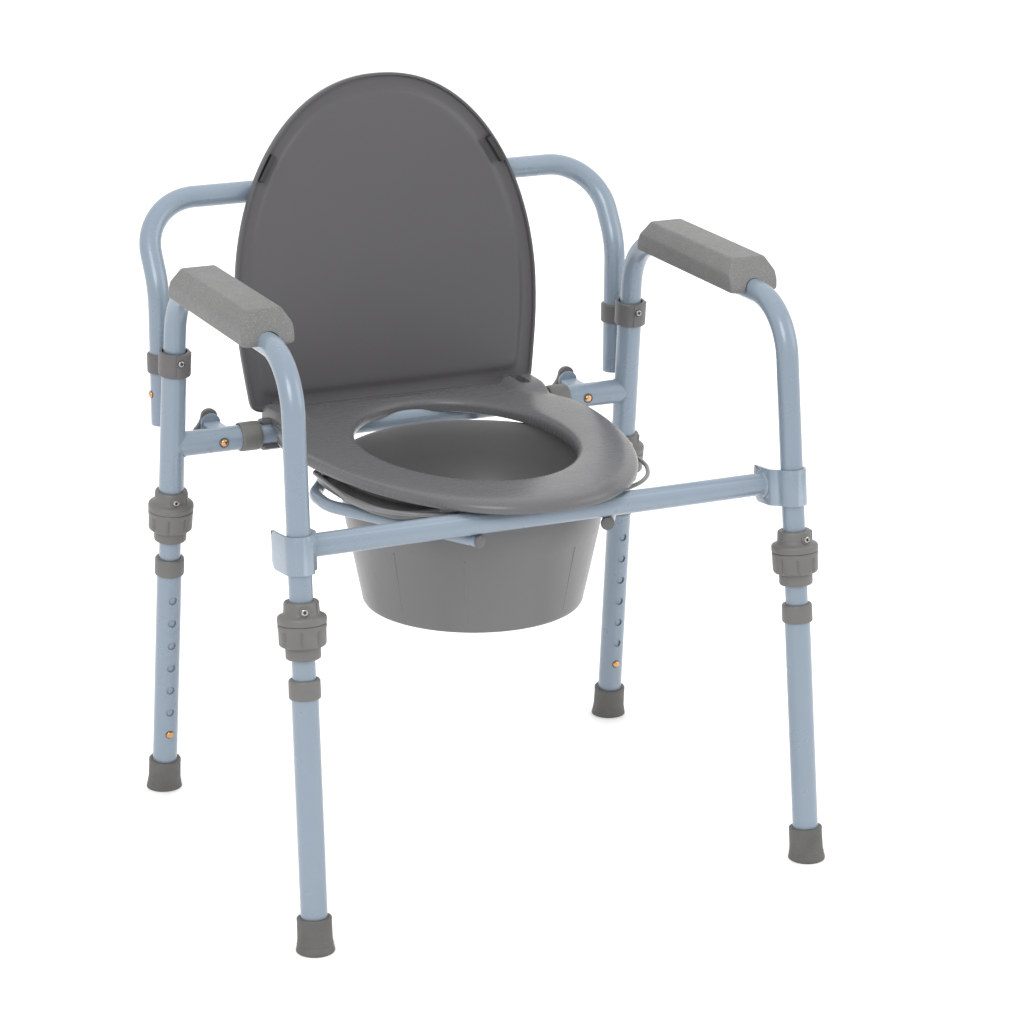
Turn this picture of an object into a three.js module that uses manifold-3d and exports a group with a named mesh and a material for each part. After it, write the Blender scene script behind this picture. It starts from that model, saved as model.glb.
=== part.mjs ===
// A commode chair: steel tube frame with height-adjustable legs, padded arms, a plug-in back rail,
// a hinged seat and lid, and a pail that hangs on two bent rails.
// Millimetres, +Z up, the sitter faces -Y. The origin is on the floor at the middle of the footprint.
import * as THREE from "three";
import { mergeVertices } from "three/addons/utils/BufferGeometryUtils.js";
import Module from "manifold-3d";

const wasm = await Module();
wasm.setup();

// ---- Driving dimensions ----
const GAP = 0.3; // between faces that touch

const TUBE_R = 12.7; // 1 inch tube: lower legs, rear uprights, stubs
const THIN_R = 11.1; // 7/8 inch tube: arms, back rail, bars
const WALL_R = 11.6; // bore of the 1 inch tube
const THIN_WALL_R = 9.9; // bore of the 7/8 inch tube
const RAIL_R = 6.3; // pail rail

const FRONT_FOOT = { x: 264.3, y: -236.8, toe: 0.015, lean: 0.116 }; // toe in and lean back, per mm of height
const REAR_FOOT = { x: 260.4, y: 200.1, toe: 0.013, lean: -0.099 };
const HOLE_PITCH = 25.4;
const HOLE_COUNT = 7;
const FIRST_HOLE = 64.9; // up the leg from the floor
const HOLE_R = 4.4;

const ARM_Z = 556;
const ARM_BEND_R = 60;
const CLIP_Z = 471;
const STUB_Z = 382.5;
const BAR_Z = 375.6;
const BAR_Y = -170.2;
const RAIL_Z = 357.8;

const HINGE_Y = REAR_FOOT.y + REAR_FOOT.lean * STUB_Z; // the cross tube's axis
const SEAT_LOW = 390;
const SEAT_TOP = 402;
const SEAT_WIDEST = 72; // Y of the widest place
const SEAT_FRONT = -211;
const SEAT_REAR = 185.5;
const HOLE_HALF = { x: 104, y: 143 };
const HOLE_Y = 13;
const LID_TILT = THREE.MathUtils.degToRad(6.5);
const LID_WIDEST = 126.5; // up the lid from its hinge axis
const LID_TOP = 353.7;
const LID_BOTTOM = 16;
const PAIL_Y = -8;

// ---- Materials ----
function finish(color, roughness, metalness = 0) {
  return new THREE.MeshStandardMaterial({ color, roughness, metalness });
}
const POWDER = finish(0x93a5b8, 0.35, 0.2);
const PLASTIC = finish(0x76757a, 0.45);
const COLLAR_GREY = finish(0x6c6a66, 0.5);
const PAD_GREY = finish(0x9a9a97, 0.8);
const RUBBER = finish(0x5a5856, 0.8);
const BRASS = finish(0xb98350, 0.25, 0.9);
const DARK_RUBBER = finish(0x2e2d2e, 0.8);

// ---- Solids ----
function toSolid(geometry) {
  const bare = geometry.clone();
  bare.deleteAttribute("normal");
  bare.deleteAttribute("uv");
  const merged = mergeVertices(bare, 1e-3);
  const mesh = new wasm.Mesh({
    numProp: 3,
    vertProperties: merged.attributes.position.array,
    triVerts: new Uint32Array(merged.index.array),
  });
  return new wasm.Manifold(mesh);
}

function toGeometry(solid) {
  const mesh = solid.getMesh();
  const geometry = new THREE.BufferGeometry();
  geometry.setAttribute("position", new THREE.BufferAttribute(mesh.vertProperties, 3));
  geometry.setIndex(new THREE.BufferAttribute(mesh.triVerts, 1));
  return geometry;
}

function join(first, ...others) {
  return toGeometry(others.reduce((solid, g) => solid.add(toSolid(g)), toSolid(first)));
}

function cut(first, ...others) {
  return toGeometry(others.reduce((solid, g) => solid.subtract(toSolid(g)), toSolid(first)));
}

// A curve through chosen stations, so that straight runs stay single steps.
class StationCurve extends THREE.Curve {
  constructor(stations) {
    super();
    this.stations = stations;
  }
  getPointAt(u) {
    const last = this.stations.length - 1;
    return this.stations[Math.round(u * last)].clone();
  }
  getTangentAt(u) {
    const last = this.stations.length - 1;
    const i = Math.round(u * last);
    const before = this.stations[Math.max(i - 1, 0)];
    const after = this.stations[Math.min(i + 1, last)];
    const a = this.stations[i].clone().sub(before).normalize();
    const b = after.clone().sub(this.stations[i]).normalize();
    return a.add(b).normalize();
  }
}

// The stations of a polyline whose inner corners are rounded to a radius.
function rounded(corners, radius, steps = 5) {
  const out = [corners[0]];
  for (let i = 1; i < corners.length - 1; i++) {
    const corner = corners[i];
    const a = corners[i - 1].clone().sub(corner).normalize();
    const b = corners[i + 1].clone().sub(corner).normalize();
    const half = a.angleTo(b) / 2;
    const r = Array.isArray(radius) ? radius[i - 1] : radius;
    const middle = a.clone().add(b).normalize();
    const centre = corner.clone().addScaledVector(middle, r / Math.sin(half));
    const start = corner.clone().addScaledVector(a, r / Math.tan(half)).sub(centre);
    const end = corner.clone().addScaledVector(b, r / Math.tan(half)).sub(centre);
    const sweep = start.angleTo(end);
    for (let k = 0; k <= steps; k++) {
      const t = k / steps;
      const p = start.clone().multiplyScalar(Math.sin((1 - t) * sweep));
      p.addScaledVector(end, Math.sin(t * sweep)).divideScalar(Math.sin(sweep));
      out.push(p.add(centre));
    }
  }
  out.push(corners[corners.length - 1]);
  return out;
}

function circle(radius, sides, start = 0) {
  const points = [];
  for (let i = 0; i < sides; i++) {
    const a = start + (i * 2 * Math.PI) / sides;
    points.push(new THREE.Vector2(radius * Math.cos(a), radius * Math.sin(a)));
  }
  return points;
}

// A tube or rod along stations. With no bore it is solid.
function tubeAlong(stations, outer, bore = 0, sides = 12) {
  const section = new THREE.Shape(circle(outer, sides));
  if (bore) section.holes.push(new THREE.Path(circle(bore, sides)));
  return new THREE.ExtrudeGeometry(section, {
    steps: stations.length - 1,
    extrudePath: new StationCurve(stations),
  });
}

// A solid of revolution about Z from [radius, height] pairs that run up the outside.
function turned(profile, sides = 20) {
  const points = profile.map(([r, z]) => new THREE.Vector2(r, z));
  return new THREE.LatheGeometry(points, sides).rotateX(Math.PI / 2);
}

// A hollow sleeve about Z, closed on itself, from outside pairs that run upwards.
function sleeve(outside, bore, sides = 20) {
  const low = outside[0][1];
  const high = outside[outside.length - 1][1];
  return turned([[bore, low], ...outside, [bore, high], [bore, low]], sides);
}

// An extruded outline lying flat, from z = low to z = high.
function slab(outline, low, high, holes = []) {
  const shape = new THREE.Shape(outline);
  shape.holes = holes.map((h) => new THREE.Path(h));
  const depth = high - low;
  return new THREE.ExtrudeGeometry(shape, { depth, bevelEnabled: false }).translate(0, 0, low);
}

function rod(radius, low, high, sides = 10) {
  return slab(circle(radius, sides), low, high);
}

// ---- The assembly ----
const chair = new THREE.Group();

function add(group, name, geometry, material) {
  const mesh = new THREE.Mesh(geometry, material);
  mesh.name = name;
  group.add(mesh);
  return mesh;
}

// A point on a leg's axis at height z; side is -1 for the left leg and 1 for the right.
function onLeg(foot, side, z) {
  return new THREE.Vector3(side * (foot.x - foot.toe * z), foot.y + foot.lean * z, z);
}

// A group whose Z axis runs up a leg from the floor.
function legGroup(foot, side) {
  const group = new THREE.Group();
  const up = onLeg(foot, side, 1).sub(onLeg(foot, side, 0)).normalize();
  group.position.copy(onLeg(foot, side, 0));
  group.quaternion.setFromUnitVectors(new THREE.Vector3(0, 0, 1), up);
  chair.add(group);
  return group;
}

const SIDES = [
  { side: -1, word: "left" },
  { side: 1, word: "right" },
];

// ---- Legs, from the floor up; heights run along the leg ----
const TIP_TOP = 35;
const LOWER_LEG_BOTTOM = 9;
const LOWER_LEG_TOP = 262;
const INNER_END = 50; // lower end of the telescoping tube
const TIP_LIFT = 2.6; // keeps the tilted tip's edge off the floor

function tipGeometry(group) {
  const outside = [
    [0, 0],
    [17.6, 0],
    [18.4, 2],
    [17.6, 8],
    [16.6, 11],
    [16.4, TIP_TOP - 1],
    [15.6, TIP_TOP],
    [TUBE_R + GAP, TIP_TOP],
    [TUBE_R + GAP, LOWER_LEG_BOTTOM - GAP],
    [0, LOWER_LEG_BOTTOM - GAP],
  ];
  const tip = turned(outside, 16).translate(0, 0, -TIP_LIFT);
  // The sole is cut level with the floor.
  const floor = new THREE.BoxGeometry(80, 80, 30).translate(group.position.x, group.position.y, -15);
  group.updateMatrixWorld(true);
  return cut(tip, floor.applyMatrix4(group.matrixWorld.clone().invert()));
}

function lowerLegGeometry(facing) {
  const tube = sleeve([[TUBE_R, LOWER_LEG_BOTTOM], [TUBE_R, LOWER_LEG_TOP - 4]], WALL_R, 12);
  const holes = [];
  for (let i = 0; i < HOLE_COUNT; i++) {
    const drill = rod(HOLE_R, 5, 20, 8).rotateX(Math.PI / 2);
    if (facing > 0) drill.rotateZ(Math.PI);
    holes.push(drill.translate(0, 0, FIRST_HOLE + i * HOLE_PITCH));
  }
  return cut(tube, ...holes);
}

function ringGeometry() {
  const low = 244;
  const inside = [
    [TUBE_R + GAP, low],
    [14.6, low],
    [15, low + 1.5],
    [15, LOWER_LEG_TOP - 1],
    [14.2, LOWER_LEG_TOP],
    [THIN_R + 2 * GAP, LOWER_LEG_TOP],
    [THIN_R + 2 * GAP, LOWER_LEG_TOP - 4 + GAP],
    [TUBE_R + GAP, LOWER_LEG_TOP - 4 + GAP],
    [TUBE_R + GAP, low],
  ];
  return turned(inside, 16);
}

// The fixed half of the twist collar: a sleeve with a flange.
function collarGeometry(bore) {
  const seam = 315;
  const top = 336;
  return sleeve(
    [
      [23, seam],
      [23, seam + 6.5],
      [17.2, seam + 8.5],
      [16.4, top],
    ],
    bore,
    16,
  );
}

// The turning half: a lobed nut that ends in a short sleeve.
function nutGeometry(bore) {
  const low = 281.6;
  const step = 294;
  const seam = 315 - GAP;
  const lobes = 8;
  const outline = [];
  for (let i = 0; i < lobes * 2; i++) {
    const a = (i * Math.PI) / lobes;
    const r = i % 2 ? 21.2 : 22.6;
    outline.push(new THREE.Vector2(r * Math.cos(a), r * Math.sin(a)));
  }
  const nut = slab(outline, step, seam, [circle(bore, 16)]);
  const tail = sleeve([[15.8, low], [16.4, low + 1], [16.4, step + 0.5]], bore, 16);
  return join(nut, tail);
}

// The hole a leg's snap button comes through in the telescoping tube, in the chair's frame.
function buttonHole(foot, side) {
  const facing = foot === FRONT_FOOT ? -1 : 1;
  const drill = rod(HOLE_R, 5, 20, 8).rotateX((facing * Math.PI) / 2).translate(0, 0, FIRST_HOLE);
  const base = onLeg(foot, side, 0);
  const up = onLeg(foot, side, 1).sub(base).normalize();
  drill.applyQuaternion(new THREE.Quaternion().setFromUnitVectors(new THREE.Vector3(0, 0, 1), up));
  return drill.translate(base.x, base.y, base.z);
}

// A domed snap button standing out along its local Z.
function buttonGeometry(base, head) {
  const r = HOLE_R - 0.6;
  return turned([[0, base], [r, base], [r, head - 1.6], [r * 0.72, head - 0.5], [0, head]], 10);
}

function buildLeg(end, foot, { side, word }) {
  const group = legGroup(foot, side);
  const at = `${end}_${word}`;
  const facing = end === "front" ? 1 : -1;
  const collarBore = (end === "front" ? THIN_R : TUBE_R) + GAP;
  add(group, `foot_tip_${at}`, tipGeometry(group), RUBBER);
  add(group, `lower_leg_${at}`, lowerLegGeometry(facing), POWDER);
  add(group, `leg_ring_${at}`, ringGeometry(), COLLAR_GREY);
  add(group, `leg_collar_${at}`, collarGeometry(collarBore), COLLAR_GREY);
  add(group, `collar_nut_${at}`, nutGeometry(THIN_R + 2 * GAP), COLLAR_GREY);
  const button = buttonGeometry(THIN_WALL_R - 1, TUBE_R + 2.6);
  button.rotateX(facing > 0 ? -Math.PI / 2 : Math.PI / 2);
  add(group, `leg_button_${at}`, button.translate(0, 0, FIRST_HOLE), BRASS);
  return group;
}

// ---- Rear uprights with their stubs and hook tabs ----
const UPRIGHT_BOTTOM = 316;
const UPRIGHT_TOP = 478;
const STUB_END = 165.6;
const TAB_X = 202.4;
const TAB_BACK = 34.5; // from the stub's axis to the back of the tab

function uprightGeometry(side) {
  const low = onLeg(REAR_FOOT, side, UPRIGHT_BOTTOM);
  const high = onLeg(REAR_FOOT, side, UPRIGHT_TOP);
  const outerPost = tubeAlong([low, high], TUBE_R, 0, 12);
  const under = onLeg(REAR_FOOT, side, UPRIGHT_BOTTOM - 5);
  const over = onLeg(REAR_FOOT, side, UPRIGHT_TOP + 5);
  const bore = tubeAlong([under, over], WALL_R, 0, 12);
  const root = onLeg(REAR_FOOT, side, STUB_Z);
  const stubEnd = new THREE.Vector3(side * STUB_END, HINGE_Y, STUB_Z);
  const stub = tubeAlong([root, stubEnd], TUBE_R, 0, 12);
  const boreStart = new THREE.Vector3(side * 236, HINGE_Y, STUB_Z);
  const boreEnd = new THREE.Vector3(side * (STUB_END - 5), HINGE_Y, STUB_Z);
  const stubBore = tubeAlong([boreStart, boreEnd], WALL_R, 0, 12);
  const tab = slab(tabOutline(), 0, 3).rotateX(Math.PI / 2);
  tab.translate(side * TAB_X, HINGE_Y + TAB_BACK, STUB_Z);
  const arm = new THREE.BoxGeometry(17, TAB_BACK - 6, 3);
  arm.translate(side * TAB_X, HINGE_Y + 5 + (TAB_BACK - 6) / 2, STUB_Z + 8.5);
  const drill = rod(HOLE_R, 5, 20, 8).rotateX(Math.PI / 2);
  drill.translate(side * 204.6, HINGE_Y, STUB_Z);
  return cut(join(outerPost, stub, arm, tab), bore, stubBore, drill);
}

// A round-ended steel tab, upright behind the stub on a short flat arm.
function tabOutline() {
  const points = [new THREE.Vector2(-10.5, 3), new THREE.Vector2(10.5, 3)];
  for (let i = 0; i <= 8; i++) {
    const a = (i * Math.PI) / 8;
    points.push(new THREE.Vector2(10.5 * Math.cos(a), 8 + 10.5 * Math.sin(a)));
  }
  return points;
}

// ---- Arms ----
function armStations(side) {
  const corners = [
    onLeg(REAR_FOOT, side, 425),
    onLeg(REAR_FOOT, side, ARM_Z),
    onLeg(FRONT_FOOT, side, ARM_Z),
    onLeg(FRONT_FOOT, side, INNER_END),
  ];
  return rounded(corners, ARM_BEND_R);
}

const PAD_HALF_WIDTH = 26;
const PAD_TOP = 30.5;
const PAD_FRONT = -115;
const PAD_REAR = 93;

// A chamfered block, lofted from a low outline to a smaller top one, hollowed to sit on the arm.
function padGeometry(side) {
  const shape = new THREE.Shape([
    new THREE.Vector2(-PAD_HALF_WIDTH, -1),
    new THREE.Vector2(PAD_HALF_WIDTH, -1),
    new THREE.Vector2(PAD_HALF_WIDTH, 16),
    new THREE.Vector2(17, PAD_TOP),
    new THREE.Vector2(-17, PAD_TOP),
    new THREE.Vector2(-PAD_HALF_WIDTH, 16),
  ]);
  const length = PAD_REAR - PAD_FRONT;
  const block = new THREE.ExtrudeGeometry(shape, { depth: length, bevelEnabled: false });
  block.rotateX(Math.PI / 2).translate(0, PAD_REAR, 0);
  const wedges = [
    [PAD_FRONT, 1],
    [PAD_REAR, -1],
  ].map(([y, turn]) => {
    const wedge = new THREE.BoxGeometry(120, 60, 60);
    wedge.translate(0, -turn * 30, 30).rotateX(turn * -0.53);
    return wedge.translate(0, y, 2);
  });
  const placed = cut(block, ...wedges);
  const rear = onLeg(REAR_FOOT, side, ARM_Z);
  const front = onLeg(FRONT_FOOT, side, ARM_Z);
  placed.translate((rear.x + front.x) / 2, 0, ARM_Z);
  return cut(placed, tubeAlong(armStations(side), THIN_R + GAP * 1.5, 0, 12));
}

// ---- Back rail and its clips ----
const BACK_X = 255;
const BACK_Y = 193;
const BACK_BOTTOM = 396.5;
const BACK_TOP = 616;
const BACK_KNEE = 537; // where the rail starts to lean back
const BACK_LEAN = 0.646;
const BACK_TOP_Y = BACK_Y + BACK_LEAN * (BACK_TOP - BACK_KNEE);

function backStations() {
  const corners = [
    new THREE.Vector3(-BACK_X, BACK_Y, BACK_BOTTOM),
    new THREE.Vector3(-BACK_X, BACK_Y, BACK_KNEE),
    new THREE.Vector3(-BACK_X, BACK_TOP_Y, BACK_TOP),
    new THREE.Vector3(BACK_X, BACK_TOP_Y, BACK_TOP),
    new THREE.Vector3(BACK_X, BACK_Y, BACK_KNEE),
    new THREE.Vector3(BACK_X, BACK_Y, BACK_BOTTOM),
  ];
  return rounded(corners, [70, 57, 57, 70], 4);
}

function backRailGeometry() {
  const rail = tubeAlong(backStations(), THIN_R, THIN_WALL_R, 12);
  const holes = SIDES.map(({ side }) => {
    const drill = rod(HOLE_R, 5, 20, 8).rotateY((side * Math.PI) / 2);
    return drill.translate(side * BACK_X, BACK_Y, CLIP_Z - 42);
  });
  return cut(rail, ...holes);
}

const CLIP_DROP = 9.5; // the rear ring sits lower than the front one

// Two rings and a web: the front ring grips the upright and the rear ring holds the rail.
function clipGeometry(side) {
  const half = 12.5;
  const post = onLeg(REAR_FOOT, side, CLIP_Z);
  const front = slab(circle(15.6, 18), -half, half).translate(post.x, post.y, CLIP_Z);
  const rear = slab(circle(13.4, 18), -10, 10).translate(side * BACK_X, BACK_Y, CLIP_Z - CLIP_DROP);
  const web = new THREE.BoxGeometry(9, 24, 16);
  web.translate(post.x, (post.y + BACK_Y) / 2, CLIP_Z - CLIP_DROP / 2);
  const low = onLeg(REAR_FOOT, side, CLIP_Z - 30);
  const high = onLeg(REAR_FOOT, side, CLIP_Z + 30);
  const frontBore = tubeAlong([low, high], TUBE_R + GAP, 0, 16);
  const rearBore = rod(THIN_R + GAP, -40, 40, 16).translate(side * BACK_X, BACK_Y, CLIP_Z);
  return cut(join(front, rear, web), frontBore, rearBore);
}

// ---- Rear cross tube, stub caps and storage hooks ----
function crossTubeGeometry() {
  const end = 228;
  const tube = tubeAlong(
    [new THREE.Vector3(-end, HINGE_Y, STUB_Z), new THREE.Vector3(end, HINGE_Y, STUB_Z)],
    THIN_R,
    THIN_WALL_R,
    12,
  );
  const holes = SIDES.map(({ side }) => {
    const drill = rod(HOLE_R, 5, 20, 8).rotateX(Math.PI / 2);
    return drill.translate(side * 204.6, HINGE_Y, STUB_Z);
  });
  return cut(tube, ...holes);
}

function stubCapGeometry(side) {
  const cap = turned(
    [
      [TUBE_R + GAP, -22],
      [14.6, -22],
      [14.9, -20],
      [14.9, -2],
      [13.8, 0],
      [THIN_R + GAP, 0],
      [THIN_R + GAP, -3],
      [TUBE_R + GAP, -3],
      [TUBE_R + GAP, -22],
    ],
    18,
  );
  cap.rotateY((-side * Math.PI) / 2);
  return cap.translate(side * (STUB_END - 3 - GAP), HINGE_Y, STUB_Z);
}

// A bell-shaped moulded hook with an arched window, standing behind its steel tab.
function hookGeometry(side) {
  const bell = [];
  for (const [x, z] of [[-17, -2], [17, -2], [17, 2], [11, 9], [8.5, 14]]) {
    bell.push(new THREE.Vector2(x, z));
  }
  for (let i = 1; i < 6; i++) {
    const a = (i * Math.PI) / 6;
    bell.push(new THREE.Vector2(8.5 * Math.cos(a), 14 + 8.5 * Math.sin(a)));
  }
  for (const [x, z] of [[-8.5, 14], [-11, 9], [-17, 2]]) bell.push(new THREE.Vector2(x, z));
  const window = [];
  for (let i = 0; i <= 6; i++) {
    const a = (i * Math.PI) / 6;
    window.push(new THREE.Vector2(5 * Math.cos(a), 14 + 5 * Math.sin(a)));
  }
  window.push(new THREE.Vector2(-5, 8), new THREE.Vector2(5, 8));
  const hook = slab(bell, 0, 6, [window]).rotateX(Math.PI / 2);
  return hook.translate(side * TAB_X, HINGE_Y + TAB_BACK + GAP + 6, STUB_Z);
}

// ---- Front bar and its brackets ----
const BRACKET_LOW = 361.5;
const BRACKET_HIGH = 397.5; // up the leg
const STRAP_IN = THIN_R + GAP;
const STRAP_OUT = THIN_R + 3;
const OUTER_EAR_END = 34;
const INNER_EAR_END = 39;
const INNER_EAR_X = 20;

// A bent strap round the front of the leg. The outer ear runs straight back and the inner one
// is joggled inwards; the bar passes through the inner ear and stops at the outer one.
function bracketGeometry(side) {
  const outline = [];
  const p = (x, y) => outline.push(new THREE.Vector2(-side * x, y));
  const arc = (r, from, to) => {
    for (let i = 0; i <= 8; i++) {
      const a = from + ((to - from) * i) / 8;
      p(r * Math.cos(a), r * Math.sin(a));
    }
  };
  // x runs inwards, y backwards
  arc(STRAP_OUT, Math.PI, 2 * Math.PI);
  p(INNER_EAR_X + 1, 9);
  p(INNER_EAR_X + 1, INNER_EAR_END);
  p(INNER_EAR_X - 1.6, INNER_EAR_END);
  p(INNER_EAR_X - 1.6, 10);
  arc(STRAP_IN, 2 * Math.PI, Math.PI);
  p(-STRAP_IN, OUTER_EAR_END);
  p(-STRAP_OUT, OUTER_EAR_END);
  if (side > 0) outline.reverse();
  const strap = slab(outline, BRACKET_LOW, BRACKET_HIGH);
  const ears = join(earBlock(-side, OUTER_EAR_END, 0), earBlock(side, INNER_EAR_END, 1));
  const bent = toGeometry(toSolid(strap).intersect(toSolid(ears)));
  return bent;
}

// The side view of one ear, extruded across its half of the bracket.
function earBlock(hand, end, overlap) {
  const r = 9;
  const view = new THREE.Shape();
  view.moveTo(-30, BRACKET_LOW);
  view.lineTo(end - r, BRACKET_LOW);
  view.absarc(end - r, BRACKET_LOW + r, r, -Math.PI / 2, 0);
  view.absarc(end - r / 2, BRACKET_HIGH - r / 2, r / 2, 0, Math.PI / 2);
  view.lineTo(-30, BRACKET_HIGH);
  const block = new THREE.ExtrudeGeometry(view, {
    depth: 40 + overlap,
    bevelEnabled: false,
    curveSegments: 4,
  });
  block.rotateY(Math.PI / 2).rotateX(Math.PI / 2);
  return block.translate(hand > 0 ? -40 : -overlap, 0, 0);
}

function buildBracket(side) {
  const group = legGroup(FRONT_FOOT, side);
  group.updateMatrixWorld(true);
  const bar = barAlong(THIN_R + GAP, 0, INNER_HOLE_REACH, side);
  bar.applyMatrix4(group.matrixWorld.clone().invert());
  return add(group, `front_bracket_${side < 0 ? "left" : "right"}`, cut(bracketGeometry(side), bar), POWDER);
}

// The front bar, or the solid that clears it near one bracket.
const BAR_END = 269;
const INNER_HOLE_REACH = 60;
function barAlong(outer, bore, reach = 0, side = 1) {
  const y = BAR_Y;
  const from = reach ? side * (BAR_END - reach) : -BAR_END;
  const to = reach ? side * BAR_END : BAR_END;
  const ends = [new THREE.Vector3(from, y, BAR_Z), new THREE.Vector3(to, y, BAR_Z)];
  return tubeAlong(ends, outer, bore, 12);
}

// ---- Pail rails ----
function railStations(side) {
  const corners = [
    new THREE.Vector3(side * 68.6, -171, RAIL_Z),
    new THREE.Vector3(side * 158, -14, RAIL_Z),
    new THREE.Vector3(side * 158, 24, RAIL_Z),
    new THREE.Vector3(side * 82, 138, RAIL_Z),
    new THREE.Vector3(side * 76, 160, RAIL_Z + 6),
  ];
  return rounded(corners, [45, 45, 30], 5);
}

function plugGeometry(side) {
  const [end, next] = railStations(side);
  const back = end.clone().sub(next).normalize();
  const plug = turned([[0, GAP], [RAIL_R + 0.4, GAP], [RAIL_R + 0.4, 3], [RAIL_R - 0.6, 4.5], [0, 5]], 12);
  plug.applyQuaternion(new THREE.Quaternion().setFromUnitVectors(new THREE.Vector3(0, 0, 1), back));
  return plug.translate(end.x, end.y, end.z);
}

// ---- Seat and lid ----
// Half an egg shape at the round end (towards +Y), and a squarer end with small corners.
const LID_SIDE = [[0.35, 0.99], [0.75, 0.957], [0.9, 0.945], [0.96, 0.93], [0.99, 0.89], [1, 0.83]];
const SEAT_SIDE = [
  [0.15, 0.995], [0.3, 0.972], [0.42, 0.938], [0.54, 0.908], [0.68, 0.893], [0.95, 0.888], [1, 0.86],
];

function eggOutline(halfWidth, round, square, inset = 0, side = LID_SIDE) {
  const w = halfWidth - inset;
  const r = round - inset;
  const q = square - inset;
  const right = [];
  const steps = 12;
  for (let i = 0; i < steps; i++) {
    const a = (i * Math.PI) / 2 / steps;
    right.push([w * Math.cos(a) ** 0.93, r * Math.sin(a)]);
  }
  const points = [...side].reverse().map(([t, k]) => [w * k, -q * t]).concat(right);
  const outline = points.map(([x, y]) => new THREE.Vector2(x, y));
  outline.push(new THREE.Vector2(0, r));
  for (const [x, y] of points.reverse()) outline.push(new THREE.Vector2(-x, y));
  return outline;
}

// A slab with softened edges.
function softSlab(outline, low, high, holes, soft) {
  const shape = new THREE.Shape(outline);
  shape.holes = holes.map((h) => new THREE.Path(h));
  const geometry = new THREE.ExtrudeGeometry(shape, {
    depth: high - low - 2 * soft,
    bevelThickness: soft,
    bevelSize: soft,
    bevelOffset: -soft,
    bevelSegments: 1,
  });
  return geometry.translate(0, 0, low + soft);
}

function alongX(outer, bore, from, to, sides = 18) {
  const ends = [new THREE.Vector3(from, HINGE_Y, STUB_Z), new THREE.Vector3(to, HINGE_Y, STUB_Z)];
  return tubeAlong(ends, outer, bore, sides);
}

function box(x0, x1, y0, y1, z0, z1) {
  const b = new THREE.BoxGeometry(Math.abs(x1 - x0), y1 - y0, z1 - z0);
  return b.translate((x0 + x1) / 2, (y0 + y1) / 2, (z0 + z1) / 2);
}

const SEAT_RING = { from: 141, to: 160, outer: 16.6 };
const LID_RING = { from: 126, to: 134, outer: 15.2 };
const RING_BORE = THIN_R + 0.5;

// The seat's rear corner swells up over the cross tube.
function hoodOverTube(side) {
  const profile = [
    [126, 400], [134, 403.5], [143, 408], [150, 409.5], [172, 409.5],
    [180, 407], [184.5, 402], [184.5, 392], [126, 392],
  ];
  const [low, high] = side > 0 ? [118, 149.5] : [-149.5, -118];
  const hood = slab(profile.map(([y, z]) => new THREE.Vector2(y, z)), low, high);
  // profile (Y, Z), thickness along X
  return hood.applyMatrix4(
    new THREE.Matrix4().set(0, 0, 1, 0, 1, 0, 0, 0, 0, 1, 0, 0, 0, 0, 0, 1),
  );
}

function seatGeometry() {
  const outline = eggOutline(169, SEAT_WIDEST - SEAT_FRONT, SEAT_REAR - SEAT_WIDEST, 0, SEAT_SIDE);
  for (const p of outline) p.y = SEAT_WIDEST - p.y;
  const hole = [];
  for (let i = 0; i < 36; i++) {
    const a = (i * 2 * Math.PI) / 36;
    hole.push(new THREE.Vector2(HOLE_HALF.x * Math.cos(a), HOLE_Y + HOLE_HALF.y * Math.sin(a)));
  }
  const ring = softSlab(outline, SEAT_LOW, SEAT_TOP, [hole], 4.5);
  const channel = alongX(THIN_R + 0.8, 0, -200, 200);
  const slots = SIDES.map(({ side }) =>
    box(side * (LID_RING.from - 1.5), side * (LID_RING.to + 1.5), 146.5, 195, 380, 412),
  );
  const hoods = SIDES.map(({ side }) => hoodOverTube(side));
  const capRoom = SIDES.map(({ side }) => alongX(15.5, 0, side * (SEAT_RING.to + 1.2), side * 200));
  const open = cut(join(ring, ...hoods), channel, ...capRoom, ...slots);
  // Each clip hooks over the back of the tube and under it, open towards the front.
  const clips = SIDES.map(({ side }) => {
    const whole = alongX(SEAT_RING.outer, RING_BORE, side * SEAT_RING.from, side * SEAT_RING.to);
    return cut(whole, box(side * 140, side * 161, HINGE_Y - 20, HINGE_Y - 3, STUB_Z - 11, SEAT_LOW + 1));
  });
  const feet = SIDES.map(({ side }) =>
    box(side * 56, side * 70, BAR_Y - 6, BAR_Y + 6, BAR_Z + THIN_R + GAP, SEAT_LOW + 1),
  );
  return join(open, ...clips, ...feet);
}

// The lid is drawn lying down, with its hinge axis along X, then stood up on the cross tube.
function lidGeometry() {
  const face = -27.5; // from the hinge axis to the rim
  const place = (outline) => {
    for (const p of outline) p.y += LID_WIDEST;
    return outline;
  };
  const shape = (inset) => place(eggOutline(168, LID_TOP - LID_WIDEST, LID_WIDEST - LID_BOTTOM, inset));
  const shell = slab(shape(0), face - 10, face);
  const recess = slab(shape(3), face - 5, face + 5);
  const panel = slab(shape(15), face - 6, face - 2.5);
  const arms = SIDES.flatMap(({ side }) => [
    box(side * LID_RING.from, side * LID_RING.to, -7, 9, face - 6.5, -12.6),
    box(side * LID_RING.from, side * LID_RING.to, 0, 26, face - 9, face - 4),
  ]);
  const rings = SIDES.map(({ side }) => {
    const ring = alongX(LID_RING.outer, RING_BORE, side * LID_RING.from, side * LID_RING.to);
    return ring.translate(0, -HINGE_Y, -STUB_Z);
  });
  return join(cut(shell, recess), panel, ...arms, ...rings);
}

function bumperGeometry(side) {
  const bumper = box(-2.5, 2.5, -15, 15, -32.5 + GAP, -24.5);
  return bumper.rotateZ(side * 0.535).translate(side * 127, 266, 0);
}

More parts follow.
